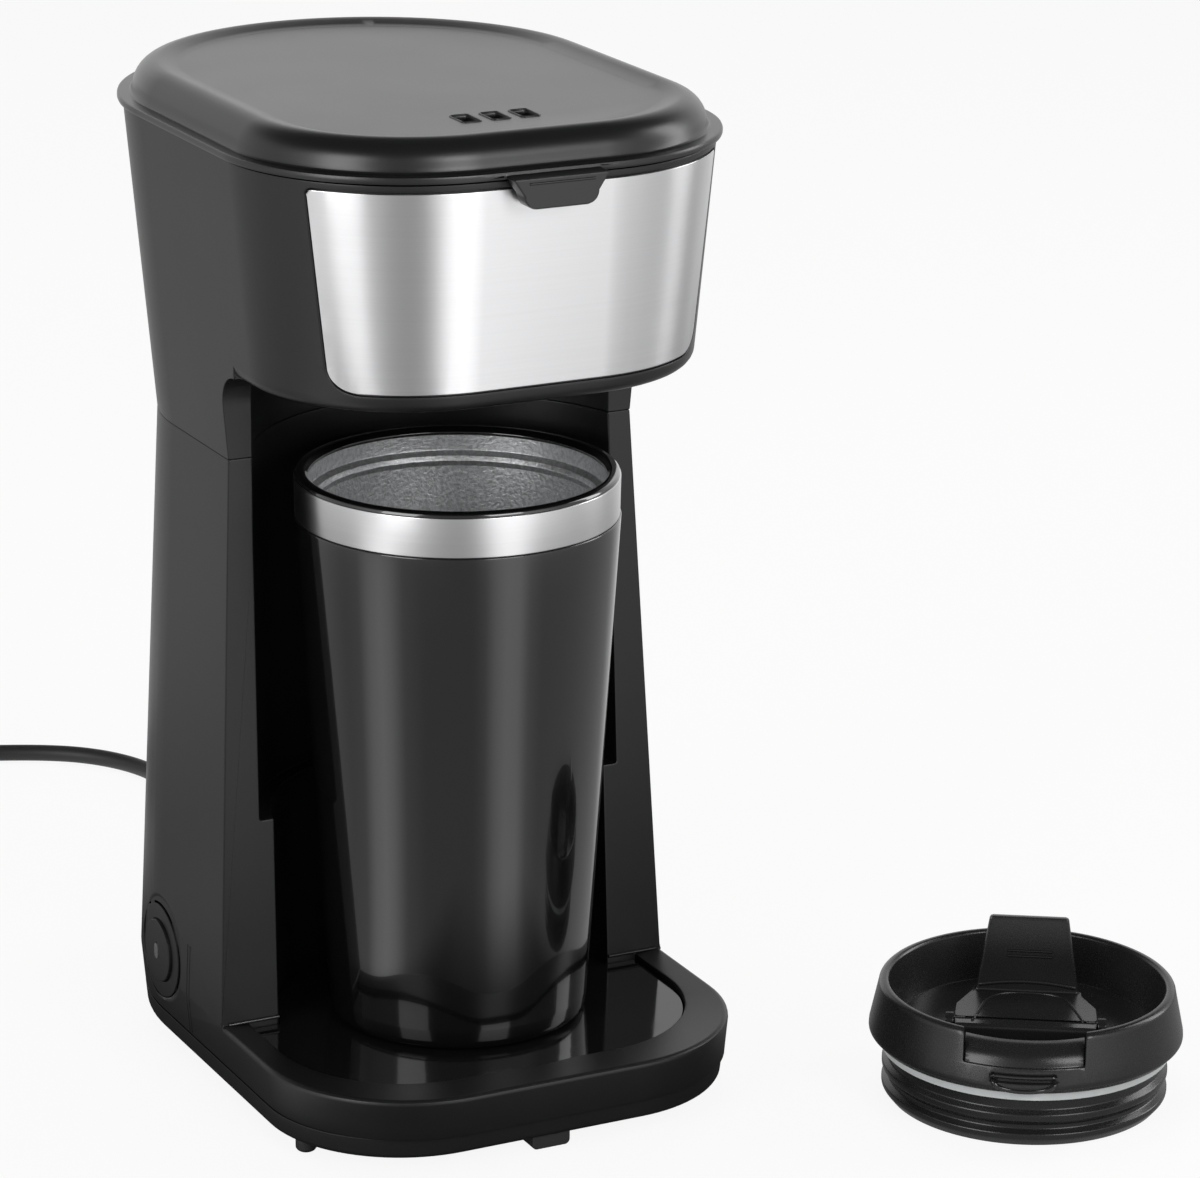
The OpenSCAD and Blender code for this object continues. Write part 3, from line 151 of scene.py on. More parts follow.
class Shading:
    """A shader tree under construction, with one method for every node it needs."""

    def __init__(self, tree):
        self.tree = tree

    def node(self, kind, settings=None, out=0, **values):
        made = self.tree.nodes.new(kind)
        for name, value in (settings or {}).items():
            if name == "stops":
                self.set_stops(made.color_ramp, value)
            else:
                setattr(made, name, value)
        for name, value in values.items():
            plug(self.tree, value, self.socket(made, name))
        return Field(self.tree, made.outputs[out])

    @staticmethod
    def socket(made, name):
        if name[0] == "_":
            return made.inputs[int(name[1:])]
        return made.inputs[name.replace("_", " ")]

    @staticmethod
    def set_stops(ramp, stops):
        while len(ramp.elements) < len(stops):
            ramp.elements.new(0.5)
        for element, (place, colour) in zip(ramp.elements, stops):
            element.position = place
            element.color = colour

    def blend(self, share, low, high):
        """Mixes two colours, each an (r, g, b) or a Field."""
        low, high = (v if isinstance(v, Field) else (*v, 1.0) for v in (low, high))
        return self.node("ShaderNodeMix", {"data_type": "RGBA"}, out=2,
                         _0=share, _6=low, _7=high)

    def parts(self, vector):
        """x, y and z of a vector."""
        split = self.tree.nodes.new("ShaderNodeSeparateXYZ")
        plug(self.tree, vector, split.inputs[0])
        return [Field(self.tree, s) for s in split.outputs]

    def rays(self):
        """Whether a ray comes from the camera, a polished surface or through clear plastic."""
        paths = self.tree.nodes.new("ShaderNodeLightPath")
        return [Field(self.tree, paths.outputs["Is %s Ray" % kind])
                for kind in ("Camera", "Glossy", "Transmission")]

    def bump(self, height, strength, depth):
        return self.node("ShaderNodeBump", Height=height, Strength=strength, Distance=depth)


class Finish(Shading):
    """A material under construction."""

    def __init__(self, name):
        self.material = bpy.data.materials.new(name)
        self.material.use_nodes = True
        super().__init__(self.material.node_tree)
        self.shader = next(n for n in self.tree.nodes if n.type == "BSDF_PRINCIPLED")
        self.here = self.node("ShaderNodeTexCoord", out="Object")

    def noise(self, scale, detail=2.0, rough=0.5, stretch=None):
        where = self.here
        if stretch:
            where = self.node("ShaderNodeMapping", Vector=where, Scale=stretch)
        return self.node("ShaderNodeTexNoise", Vector=where, Scale=scale, Detail=detail,
                         Roughness=rough)

    def set(self, **values):
        for name, value in values.items():
            if isinstance(value, tuple) and len(value) == 3:
                value = (*value, 1.0)
            plug(self.tree, value, self.shader.inputs[name.replace("_", " ")])
        return self.material


def moulded_plastic(name, colour, rough, grain, depth, spread=0.05, coat=0.0):
    """Matt moulded plastic with a fine spark-eroded grain."""
    f = Finish(name)
    fine = f.noise(grain, 3, 0.6)
    broad = f.noise(40, 2, 0.5)
    tone = f.blend(broad.between(0.3, 0.7), tuple(c * (1 - spread) for c in colour),
                   tuple(c * (1 + spread) for c in colour))
    return f.set(
        Base_Color=tone,
        Roughness=rough - 0.05 + 0.1 * fine + 0.04 * broad,
        Normal=f.bump(fine, 0.35, depth),
        Coat_Weight=coat,
        Coat_Roughness=0.3,
    )


def gloss_plastic(name, colour, rough, coat=0.0):
    """Polished plastic or lacquer with faint handling marks."""
    f = Finish(name)
    haze = f.noise(120, 4, 0.7)
    smear = f.noise(18, 2, 0.5)
    return f.set(
        Base_Color=f.blend(smear, tuple(c * 0.9 for c in colour), tuple(c * 1.1 for c in colour)),
        Roughness=rough + 0.04 * haze.between(0.45, 0.8) + 0.02 * smear,
        Normal=f.bump(smear, 0.05, 0.0002),
        Coat_Weight=coat,
        Coat_Roughness=0.02,
    )


def brushed_metal(name, colour, rough, stretch, depth, drawn=0.0):
    """Steel with a fine straight grain along the directions that stretch keeps small."""
    f = Finish(name)
    grain = f.noise(1.0, 6, 0.75, stretch=stretch)
    wide = f.noise(1.0, 3, 0.6, stretch=tuple(s * 0.22 for s in stretch))
    shade = 0.6 * grain + 0.4 * wide
    return f.set(
        Base_Color=f.blend(shade, tuple(c * 0.9 for c in colour), tuple(c * 1.05 for c in colour)),
        Metallic=1.0,
        Roughness=rough - 0.06 + 0.14 * shade,
        Normal=f.bump(grain, 0.25, depth),
        Anisotropic=drawn,
        Anisotropic_Rotation=0.25,
    )


def blasted_steel(name, colour, rough, grain):
    """Steel with a bright, grainy satin surface."""
    f = Finish(name)
    grit = f.noise(grain, 3, 0.6)
    cloud = f.noise(grain / 12, 2, 0.5)
    tone = f.blend(grit.between(0.3, 0.7), tuple(c * 0.72 for c in colour), colour)
    return f.set(
        Base_Color=tone,
        Metallic=0.85,
        Roughness=rough + 0.12 * grit + 0.06 * cloud,
        Normal=f.bump(grit, 0.6, 0.0003),
    )


def gauze(name, colour, across=150, pitch=1.1):
    """Fine woven metal round the machine's axis, with painted shade in its holes."""
    f = Finish(name)
    x, y, z = f.parts(f.here)
    centre = machine(0, 0, 0)
    turn = (x - centre.x).math("ARCTAN2", y - centre.y) * across
    rise = z * (math.tau / (pitch * MM))
    hole = (turn.math("SINE") * rise.math("SINE")).math("ABSOLUTE").between(0.3, 0.55)
    shade = f.noise(500, 2, 0.5)
    wire = f.blend(shade, tuple(c * 0.85 for c in colour), colour)
    return f.set(
        # Painted shade: the weave's holes are painted nearly black, for the dark inside seen through
        # them
        Base_Color=f.blend(hole, wire, tuple(c * 0.06 for c in colour)),
        Metallic=1.0 - 0.8 * hole,
        Roughness=0.3 + 0.3 * hole + 0.08 * shade,
        Normal=f.bump(1.0 - hole, 0.6, 0.0002),
    )


def soft_rubber(name, colour, rough=0.62):
    f = Finish(name)
    fine = f.noise(2600, 2, 0.6)
    dust = f.noise(60, 4, 0.65).between(0.5, 0.85)
    return f.set(
        Base_Color=f.blend(0.35 * dust, colour, tuple(min(1, c * 2.2) for c in colour)),
        Roughness=rough + 0.1 * dust,
        Normal=f.bump(fine, 0.2, 0.00008),
    )


BODY = moulded_plastic("body_plastic", (0.0065, 0.0065, 0.0068), 0.37, 2400, 0.00006)
LID = moulded_plastic("lid_plastic_top", (0.006, 0.006, 0.0063), 0.31, 2600, 0.00004, coat=0.25)
COVER = moulded_plastic("cover_plastic", (0.007, 0.007, 0.0073), 0.45, 2400, 0.00006)
INNER = moulded_plastic("inner_plastic", (0.012, 0.012, 0.0125), 0.5, 1800, 0.00005)
RING = moulded_plastic("switch_plastic", (0.008, 0.008, 0.0083), 0.38, 3200, 0.00012)
MUG_LID_PLASTIC = moulded_plastic("mug_lid_plastic", (0.013, 0.013, 0.0134), 0.25, 2600, 0.00004)
TANK = moulded_plastic("tank_plastic", (0.30, 0.31, 0.32), 0.4, 1600, 0.00004)
VALVE = moulded_plastic("valve_plastic", (0.62, 0.62, 0.60), 0.45, 1500, 0.00004)
PLATE = gloss_plastic("plate_gloss", (0.006, 0.006, 0.0065), 0.07)
LACQUER = gloss_plastic("mug_lacquer", (0.004, 0.004, 0.0043), 0.14, 1.0)
CATCH = gloss_plastic("catch_plastic", (0.01, 0.01, 0.0104), 0.12, 0.6)
LENS_CLEAR = gloss_plastic("lens_plastic", (0.10, 0.10, 0.105), 0.15)
RUBBER = soft_rubber("foot_rubber", (0.02, 0.02, 0.021))
LEAD = soft_rubber("lead_rubber", (0.018, 0.018, 0.019), 0.5)
SILICONE = soft_rubber("silicone", (0.55, 0.53, 0.48), 0.5)
SEAL = soft_rubber("seal_silicone", (0.50, 0.52, 0.52), 0.45)
PANEL = brushed_metal("panel_steel", (0.80, 0.80, 0.81), 0.3, (30, 30, 9000), 0.00001, 0.85)
RIM = brushed_metal("rim_steel", (0.77, 0.77, 0.78), 0.29, (40, 40, 7000), 0.000004, 0.6)
LINER = blasted_steel("liner_steel", (0.84, 0.85, 0.86), 0.31, 1000)
PLATED = brushed_metal("plated_steel", (0.60, 0.60, 0.61), 0.2, (900, 900, 900), 0.00002)
CAST = brushed_metal("cast_aluminium", (0.55, 0.55, 0.56), 0.42, (500, 500, 500), 0.0001)
MESH_METAL = gauze("filter_gauze", (0.66, 0.52, 0.28))
FUSE = brushed_metal("fuse_brass", (0.62, 0.46, 0.22), 0.3, (900, 900, 900), 0.00002)

NODE_FINISH = {
    BODY: ["body_shell", "head_shell"],
    COVER: ["bottom_cover"],
    LID: ["top_lid"],
    INNER: ["switch_body", "riser_nozzle", "spray_channel", "filter_basket", "filter_frame"],
    RING: ["switch_bezel", "switch_button"],
    MUG_LID_PLASTIC: ["lid_collar", "lid_stopper", "cap_pins", "flip_cap"],
    TANK: ["water_tank"],
    VALVE: ["check_valve"],
    PLATE: ["cup_plate"],
    LACQUER: ["mug_shell"],
    LENS_CLEAR: ["switch_lens"],
    RUBBER: ["feet", "mug_foot"],
    LEAD: ["cord_bush", "strain_relief", "cord", "cord_coil", "plug_body"],
    SILICONE: ["feed_hose", "riser_hose"],
    SEAL: ["lid_seal"],
    PANEL: ["front_panel"],
    RIM: ["mug_band"],
    LINER: ["mug_liner"],
    PLATED: ["thermostat", "heater_bracket", "cover_screws", "head_screws", "bracket_screws",
             "hinge_pin", "plug_pins"],
    CAST: ["heater_block", "heater_element"],
    MESH_METAL: ["filter_mesh"],
    FUSE: ["thermal_fuse"],
}


def dress(thing, finish):
    thing.data.materials.clear()
    thing.data.materials.append(finish)


for finish, names in NODE_FINISH.items():
    for name in names:
        dress(NODES[name], finish)


# ---------------------------------------------------------------- making pieces

BODY_OF = {node: body for body, nodes in frame["record"]["behaviour"]["bodies"].items()
           for node in nodes}


def placed(name, mesh, finish, stands_for=(), body=None):
    """Puts a finished mesh in the scene on its body, in place of the CAD nodes it stands for."""
    piece = bpy.data.objects.new(name, mesh)
    bpy.context.scene.collection.objects.link(piece)
    if not mesh.materials:
        mesh.materials.append(finish)
    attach(piece, body or BODY_OF[stands_for[0]])
    if stands_for:
        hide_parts(*stands_for)
    return piece


def shaded(mesh, sharp=35):
    """Smooth shading, but for the edges that turn more than an angle."""
    made = bmesh.new()
    made.from_mesh(mesh)
    for edge in made.edges:
        edge.smooth = len(edge.link_faces) == 2 and edge.calc_face_angle(0) < math.radians(sharp)
    for face in made.faces:
        face.smooth = True
    made.to_mesh(mesh)
    made.free()
    return mesh


def evaluated(thing):
    """The mesh of an object with its modifiers applied; the object is removed."""
    bpy.context.view_layer.update()
    graph = bpy.context.evaluated_depsgraph_get()
    mesh = bpy.data.meshes.new_from_object(thing.evaluated_get(graph))
    bpy.data.objects.remove(thing)
    return mesh


def loose(name, mesh):
    thing = bpy.data.objects.new(name, mesh)
    bpy.context.scene.collection.objects.link(thing)
    return thing


# Points closer than this are one, and edges shorter than a sliver go, in metres
SAME_POINT, SLIVER = 1e-5, 1e-4
# Faces that turn less than this, in degrees, are one face
FLAT_TURN = 0.1
# A point of a rounded edge may leave the first skin by this share of the rounding's width
STRAY_SHARE = 0.6


def joined_facets(node):
    """A CAD node's triangles merged into larger faces, and its first skin to measure from."""
    made = bmesh.new()
    made.from_mesh(NODES[node].data)
    bmesh.ops.remove_doubles(made, verts=made.verts, dist=SAME_POINT)
    skin = BVHTree.FromBMesh(made)
    bmesh.ops.dissolve_degenerate(made, dist=SLIVER, edges=made.edges)
    bmesh.ops.dissolve_limit(made, angle_limit=math.radians(FLAT_TURN), verts=made.verts,
                             edges=made.edges)
    bmesh.ops.dissolve_degenerate(made, dist=SLIVER, edges=made.edges)
    mesh = bpy.data.meshes.new(node)
    made.to_mesh(mesh)
    made.free()
    return mesh, skin


def softened(node, width, finish, steps=2, limit=30):
    """A copy of a CAD node with its facets joined and its edges rounded."""
    mesh, skin = joined_facets(node)
    thing = loose(node, mesh)
    bevel = thing.modifiers.new("edges", "BEVEL")
    bevel.width = width * MM
    bevel.segments = steps
    bevel.limit_method = "ANGLE"
    bevel.angle_limit = math.radians(limit)
    bevel.use_clamp_overlap = False
    bevel.miter_outer = "MITER_ARC"
    mesh = evaluated(thing)
    for vertex in mesh.vertices:
        near, _, _, gap = skin.find_nearest(vertex.co)
        if gap > STRAY_SHARE * width * MM:
            vertex.co = near
    thing = loose(node, shaded(mesh))
    even = thing.modifiers.new("normals", "WEIGHTED_NORMAL")
    even.keep_sharp = True
    return placed(node + "_piece", evaluated(thing), finish, [node])


# ---------------------------------------------------------------- power lead

LEAD_D = 5.2
LEAD_ROUTE = [
    (0, 144, 15.5), (0, 150, 15.5), (0.3, 157, 14.8), (0.8, 165, 12.8), (1.8, 175, 9.4),
    (3.2, 186, 5.9), (4.8, 197, 3.5), (6.6, 208, 2.65), (8.6, 220, 2.6), (10.4, 231, 2.6),
    (11.5, 241, 2.6), (11.6, 249, 2.6), (10, 257, 2.6), (6.6, 265, 2.6), (1.6, 272.5, 2.6),
    (-4.8, 279, 2.6), (-12.4, 284.2, 2.6), (-20.6, 288.4, 2.6), (-29, 292, 2.6),
    (-39, 296, 2.6), (-49, 300, 2.6), (-58, 303, 2.6),
]
LEAD_TAIL = [
    (-110.9, 266, 7.2), (-111.6, 260, 5.9), (-113, 252, 4.3), (-114.6, 243, 4.4),
    (-115.8, 234, 6.0), (-116, 228, 6.8), (-116, 222, 6.8),
]
COIL_CENTRE = (-82, 279)
COIL_INNER, COIL_OUTER = 25.4, 30.6
COIL_LOW, COIL_HIGH = 2.6, 7.8
# (angle, radius, height) along the winding, which eases from each row to the next
COIL_STEPS = [
    (57, COIL_OUTER, COIL_LOW), (357, COIL_OUTER, COIL_LOW), (397, COIL_INNER, COIL_LOW),
    (677, COIL_INNER, COIL_LOW), (727, COIL_INNER, COIL_HIGH), (997, COIL_INNER, COIL_HIGH),
    (1037, COIL_OUTER, COIL_HIGH), (1275, COIL_OUTER, COIL_HIGH),
]


def eased(share):
    return share * share * (3 - 2 * share)


def coil_points(step=9):
    points = []
    angle = COIL_STEPS[0][0]
    while angle <= COIL_STEPS[-1][0]:
        for (a, r0, z0), (b, r1, z1) in zip(COIL_STEPS, COIL_STEPS[1:]):
            if a <= angle <= b:
                share = eased((angle - a) / (b - a))
                r, z = r0 + (r1 - r0) * share, z0 + (z1 - z0) * share
                break
        turn = math.radians(angle)
        points.append((COIL_CENTRE[0] + r * math.cos(turn), COIL_CENTRE[1] + r * math.sin(turn), z))
        angle += step
    return points


def smooth_route(points, between=4):
    """A Catmull-Rom line through the points."""
    line = []
    ends = [points[0], *points, points[-1]]
    for a, b, c, d in zip(ends, ends[1:], ends[2:], ends[3:]):
        a, b, c, d = (Vector(p) for p in (a, b, c, d))
        for i in range(between):
            t = i / between
            line.append(0.5 * (2 * b + (c - a) * t + (2 * a - 5 * b + 4 * c - d) * t ** 2
                               + (3 * b - a - 3 * c + d) * t ** 3))
    line.append(Vector(points[-1]))
    return line


def power_lead():
    line = [machine(*p) for p in smooth_route(LEAD_ROUTE + coil_points() + LEAD_TAIL)]
    length = sum((b - a).length for a, b in zip(line, line[1:]))
    curve = bpy.data.curves.new("power_lead", "CURVE")
    curve.dimensions = "3D"
    curve.bevel_depth = LEAD_D / 2 * MM
    curve.bevel_resolution = 4
    curve.use_fill_caps = True
    spline = curve.splines.new("POLY")
    spline.points.add(len(line) - 1)
    for point, place in zip(spline.points, line):
        point.co = (*place, 1)
    mesh = shaded(evaluated(loose("power_lead", curve)), 50)
    return placed("power_lead", mesh, LEAD, ["cord", "cord_coil"]), line, length


# ---------------------------------------------------------------- geometry trees

class Tree:
    """A geometry tree under construction: named inputs, one method for its nodes."""

    def __init__(self, name, **inputs):
        self.group = bpy.data.node_groups.new(name, "GeometryNodeTree")
        self.group.is_modifier = True
        face = self.group.interface
        face.new_socket("Geometry", in_out="INPUT", socket_type="NodeSocketGeometry")
        self.sockets = {
            label: face.new_socket(label.replace("_", " "), in_out="INPUT",
                                   socket_type="NodeSocket" + kind)
            for label, kind in inputs.items()
        }
        face.new_socket("Geometry", in_out="OUTPUT", socket_type="NodeSocketGeometry")
        self.entry = self.group.nodes.new("NodeGroupInput")
        self.exit = self.group.nodes.new("NodeGroupOutput")
        self.geometry = self.entry.outputs["Geometry"]

    def given(self, label):
        return self.entry.outputs[label.replace("_", " ")]

    def node(self, kind, settings=None, out=0, **values):
        made = self.group.nodes.new(kind)
        for name, value in (settings or {}).items():
            setattr(made, name, value)
        for name, value in values.items():
            slot = made.inputs[int(name[1:]) if name[0] == "_" else name.replace("_", " ")]
            if isinstance(value, bpy.types.NodeSocket):
                self.group.links.new(value, slot)
            else:
                slot.default_value = value
        return made.outputs[out]

    def close(self, geometry, material):
        """Ends the tree: real geometry, in its material."""
        real = self.node("GeometryNodeRealizeInstances", Geometry=geometry)
        dressed = self.node("GeometryNodeSetMaterial", Geometry=real, Material=material)
        self.group.links.new(dressed, self.exit.inputs[0])

    def grow(self, name, mesh, **values):
        """The plain mesh this tree makes from a starting mesh and its inputs' values."""
        thing = loose(name, mesh)
        modifier = thing.modifiers.new("tree", "NODES")
        modifier.node_group = self.group
        for label, value in values.items():
            modifier[self.sockets[label].identifier] = value
        return evaluated(thing)


def closed(mesh, gap=1e-6):
    """Merges doubles and turns every face outwards."""
    made = bmesh.new()
    made.from_mesh(mesh)
    bmesh.ops.remove_doubles(made, verts=made.verts, dist=gap)
    bmesh.ops.recalc_face_normals(made, faces=made.faces)
    made.to_mesh(mesh)
    made.free()
    return mesh


def line_mesh(name, points, loop=False):
    """A line of (x, y, z) points in metres as a mesh of edges."""
    mesh = bpy.data.meshes.new(name)
    count = len(points)
    edges = [(i, (i + 1) % count) for i in range(count if loop else count - 1)]
    mesh.from_pydata(points, edges, [])
    return mesh


def rounded(corners, steps=5):
    """A profile of (x, z, radius) corners with each corner rounded to its radius."""
    points = []
    for i, (x, z, r) in enumerate(corners):
        here = Vector((x, z))
        if not r or i in (0, len(corners) - 1):
            points.append((x, z))
            continue
        back = Vector(corners[i - 1][:2]) - here
        ahead = Vector(corners[i + 1][:2]) - here
        half = back.angle(ahead) / 2
        reach = min(r / math.tan(half), 0.49 * back.length, 0.49 * ahead.length)
        start, end = here + back.normalized() * reach, here + ahead.normalized() * reach
        for k in range(steps + 1):
            t = k / steps
            spot = start * (1 - t) ** 2 + 2 * here * t * (1 - t) + end * t ** 2
            points.append((spot.x, spot.y))
    return points


def turning_tree():
    """Turns a profile, drawn in x and z, about the upright axis."""
    tree = Tree("turning", Steps="Int", Finish="Material")
    place = tree.node("GeometryNodeInputPosition")
    split = tree.group.nodes.new("ShaderNodeSeparateXYZ")
    tree.group.links.new(place, split.inputs[0])
    shifted = tree.node("ShaderNodeMath", {"operation": "SUBTRACT"}, _0=split.outputs[0], _1=1.0)
    flipped = tree.node("ShaderNodeMath", {"operation": "MULTIPLY"}, _0=split.outputs[2], _1=-1.0)
    laid = tree.node("ShaderNodeCombineXYZ", X=shifted, Y=flipped)
    profile = tree.node("GeometryNodeMeshToCurve", Mesh=tree.node(
        "GeometryNodeSetPosition", Geometry=tree.geometry, Position=laid))
    circle = tree.node("GeometryNodeCurvePrimitiveCircle", {"mode": "RADIUS"},
                       Resolution=tree.given("Steps"), Radius=1.0)
    turned = tree.node("GeometryNodeCurveToMesh", Curve=circle, Profile_Curve=profile)
    merged = tree.node("GeometryNodeMergeByDistance", Geometry=turned, Distance=1e-6)
    tree.close(merged, tree.given("Finish"))
    return tree


TURNING = turning_tree()


def turned_mesh(name, profile, finish, steps):
    """A mesh turned from an (r, z) profile in millimetres, about the frame's own axis."""
    line = line_mesh(name, [(r * MM, 0, z * MM) for r, z in profile], loop=profile[0][0] > 0)
    mesh = TURNING.grow(name, line, Steps=steps, Finish=finish)
    return shaded(closed(mesh))


def scatter_tree():
    """Puts a copy of an object on each point, upright."""
    tree = Tree("scatter", Piece="Object", Finish="Material")
    info = tree.node("GeometryNodeObjectInfo", {"transform_space": "ORIGINAL"}, out=4,
                     Object=tree.given("Piece"))
    points = tree.node("GeometryNodeMeshToPoints", Mesh=tree.geometry)
    copies = tree.node("GeometryNodeInstanceOnPoints", Points=points, Instance=info)
    tree.close(copies, tree.given("Finish"))
    return tree


SCATTER = scatter_tree()


def scattered(name, pattern, places, finish, stands_for):
    """Copies of a pattern mesh at places (in millimetres on the machine), as one piece."""
    model = loose(name + "_model", pattern)
    points = line_mesh(name, [tuple(machine(*p)) for p in places])
    mesh = SCATTER.grow(name, points, Piece=model, Finish=finish)
    bpy.data.objects.remove(model)
    return placed(name, shaded(mesh), finish, stands_for)


# ---------------------------------------------------------------- travel mug

MUG_FLOOR = 19.6
MUG_H = 151
BAND_LOW = MUG_H - 12
LIP_LOW = MUG_H - 1.3
MUG_STEPS = 176


def mug_piece(name, profile, finish, stands_for=()):
    mesh = turned_mesh(name, profile, finish, MUG_STEPS)
    mesh.transform(Matrix.Translation(machine(0, 0, MUG_FLOOR)))
    placed(name, mesh, finish, stands_for, "mug")


def travel_mug():
    mug_piece("mug_jacket", rounded([
        (0, 1.2, 0), (27.4, 1.2, 0.4), (27.4, 0, 0.4), (34.4, 0, 4.5), (35.0, 6, 3),
        (43.1, BAND_LOW - 0.05, 0.3), (41.2, BAND_LOW - 0.05, 0), (32.8, 5.2, 2), (0, 5.2, 0),
    ]), LACQUER, ["mug_shell"])
    mug_piece("mug_rim", rounded([
        (40.1, LIP_LOW, 0), (40.1, BAND_LOW + 4, 0), (41.2, BAND_LOW, 0.3),
        (42.75, BAND_LOW, 0.5), (42.95, LIP_LOW, 0.25), (40.1, LIP_LOW, 0),
    ]), RIM, ["mug_band"])
    mug_piece("mug_lip", rounded([
        (39.1, LIP_LOW - 0.7, 0), (40.1, LIP_LOW - 0.7, 0), (40.1, LIP_LOW, 0),
        (42.8, LIP_LOW, 0.2), (42.5, MUG_H - 0.2, 0.9), (41.2, MUG_H, 0.8), (40.2, MUG_H, 0.7),
        (39.1, MUG_H - 1.3, 0.7), (39.1, LIP_LOW - 0.7, 0),
    ]), LACQUER)
    mug_piece("mug_lining", rounded([
        (0, 8, 0), (28.5, 8, 1), (31.5, 11, 2), (38.5, 142, 0.6), (40.1, 143, 0.4),
        (40.1, 148.9, 0), (39.1, 148.9, 0), (39.1, 144.6, 0.6), (37.5, 143.6, 0.5),
        (36.9, 142.3, 0.5), (37.4, 140.8, 0.6), (30.5, 13, 3), (27.5, 9, 2), (0, 9, 0),
    ]), LINER, ["mug_liner"])
    mug_piece("mug_pad", rounded([
        (0, 0, 0), (26.5, 0, 0.4), (27.3, 0.5, 0.3), (27.3, 1.2, 0), (0, 1.2, 0),
    ]), RUBBER, ["mug_foot"])


# ---------------------------------------------------------------- small repeated pieces

SCREW_HEAD_R, SCREW_HEAD_H, SCREW_R = 2.8, 2, 1.5
SCREW_STEPS = 24
# Length of a screw, height of its head's underside, then places and angle of its posts
BACK_CENTRE_Y = 53
HEAD_SCREWS = {"length": 34, "z": 175.8 - 24, "front": (52.5, 29), "ring": 53.3, "turn": 60}
COVER_SCREWS = {"length": 12, "z": 4, "front": (46, -14), "ring": 59, "turn": 40}


def screw_pattern(length):
    """A pan-head screw pointing up, with its head's underside at z = 0."""
    return turned_mesh("screw", rounded([
        (0, 0.9, 0), (0.9, 0.6, 0.2), (1.3, 0, 0.2), (SCREW_HEAD_R - 0.7, 0, 0.8),
        (SCREW_HEAD_R, SCREW_HEAD_H, 0.2), (SCREW_R, SCREW_HEAD_H, 0),
        (SCREW_R, length - 1.5, 0.3), (0, length, 0),
    ], 3), PLATED, SCREW_STEPS)


def screw_set(name, screws, node):
    """Four screws: two in front and two on the ring round the back of the machine."""
    turn = math.radians(screws["turn"])
    across, y = screws["front"]
    posts = [(side * across, y, screws["z"]) for side in (-1, 1)]
    posts += [(side * screws["ring"] * math.cos(turn),
               BACK_CENTRE_Y + screws["ring"] * math.sin(turn), screws["z"]) for side in (-1, 1)]
    scattered(name, screw_pattern(screws["length"]), posts, PLATED, [node])


# ---------------------------------------------------------------- raised lines and small lips

def bead_tree():
    """Sweeps a round bead along a line."""
    tree = Tree("bead", Radius="Float", Sides="Int", Finish="Material")
    path = tree.node("GeometryNodeMeshToCurve", Mesh=tree.geometry)
    ring = tree.node("GeometryNodeCurvePrimitiveCircle", {"mode": "RADIUS"},
                     Resolution=tree.given("Sides"), Radius=tree.given("Radius"))
    swept = tree.node("GeometryNodeCurveToMesh", Curve=path, Profile_Curve=ring, Fill_Caps=True)
    tree.close(swept, tree.given("Finish"))
    return tree


BEAD = bead_tree()


def bead(lines, radius, finish, sides=10):
    """Round beads along lines of points in metres, as one mesh."""
    whole = bmesh.new()
    for points, loop in lines:
        part = BEAD.grow("bead", line_mesh("bead", points, loop), Radius=radius * MM, Sides=sides,
                         Finish=finish)
        whole.from_mesh(part)
    mesh = bpy.data.meshes.new("bead")
    whole.to_mesh(mesh)
    whole.free()
    mesh.materials.append(finish)
    return shaded(closed(mesh), 50)


def skin_of(piece):
    made = bmesh.new()
    made.from_mesh(piece.data)
    tree = BVHTree.FromBMesh(made)
    made.free()
    return tree


def landed(skin, points, direction, lift=0.0):
    """Where points, sent along a direction, meet a piece's skin."""
    found = []
    for point in points:
        spot, face_normal, _, _ = skin.ray_cast(Vector(point), Vector(direction))
        if spot:
            found.append(tuple(spot + face_normal * lift * MM))
    return found


def lid_point(x, y, z):
    """A point of the mug lid in the row frame, in metres."""
    turned = Matrix.Rotation(LID_TURN, 3, "Z") @ Vector((x, y, z))
    return (MUG_LID + turned) * MM


def arc(points, between=6):
    return [tuple(p) for p in smooth_route(points, between)]


# Just over the cap's panel, and in front of the collar, in millimetres
CAP_TOP = 25.8
COLLAR_FRONT = -60


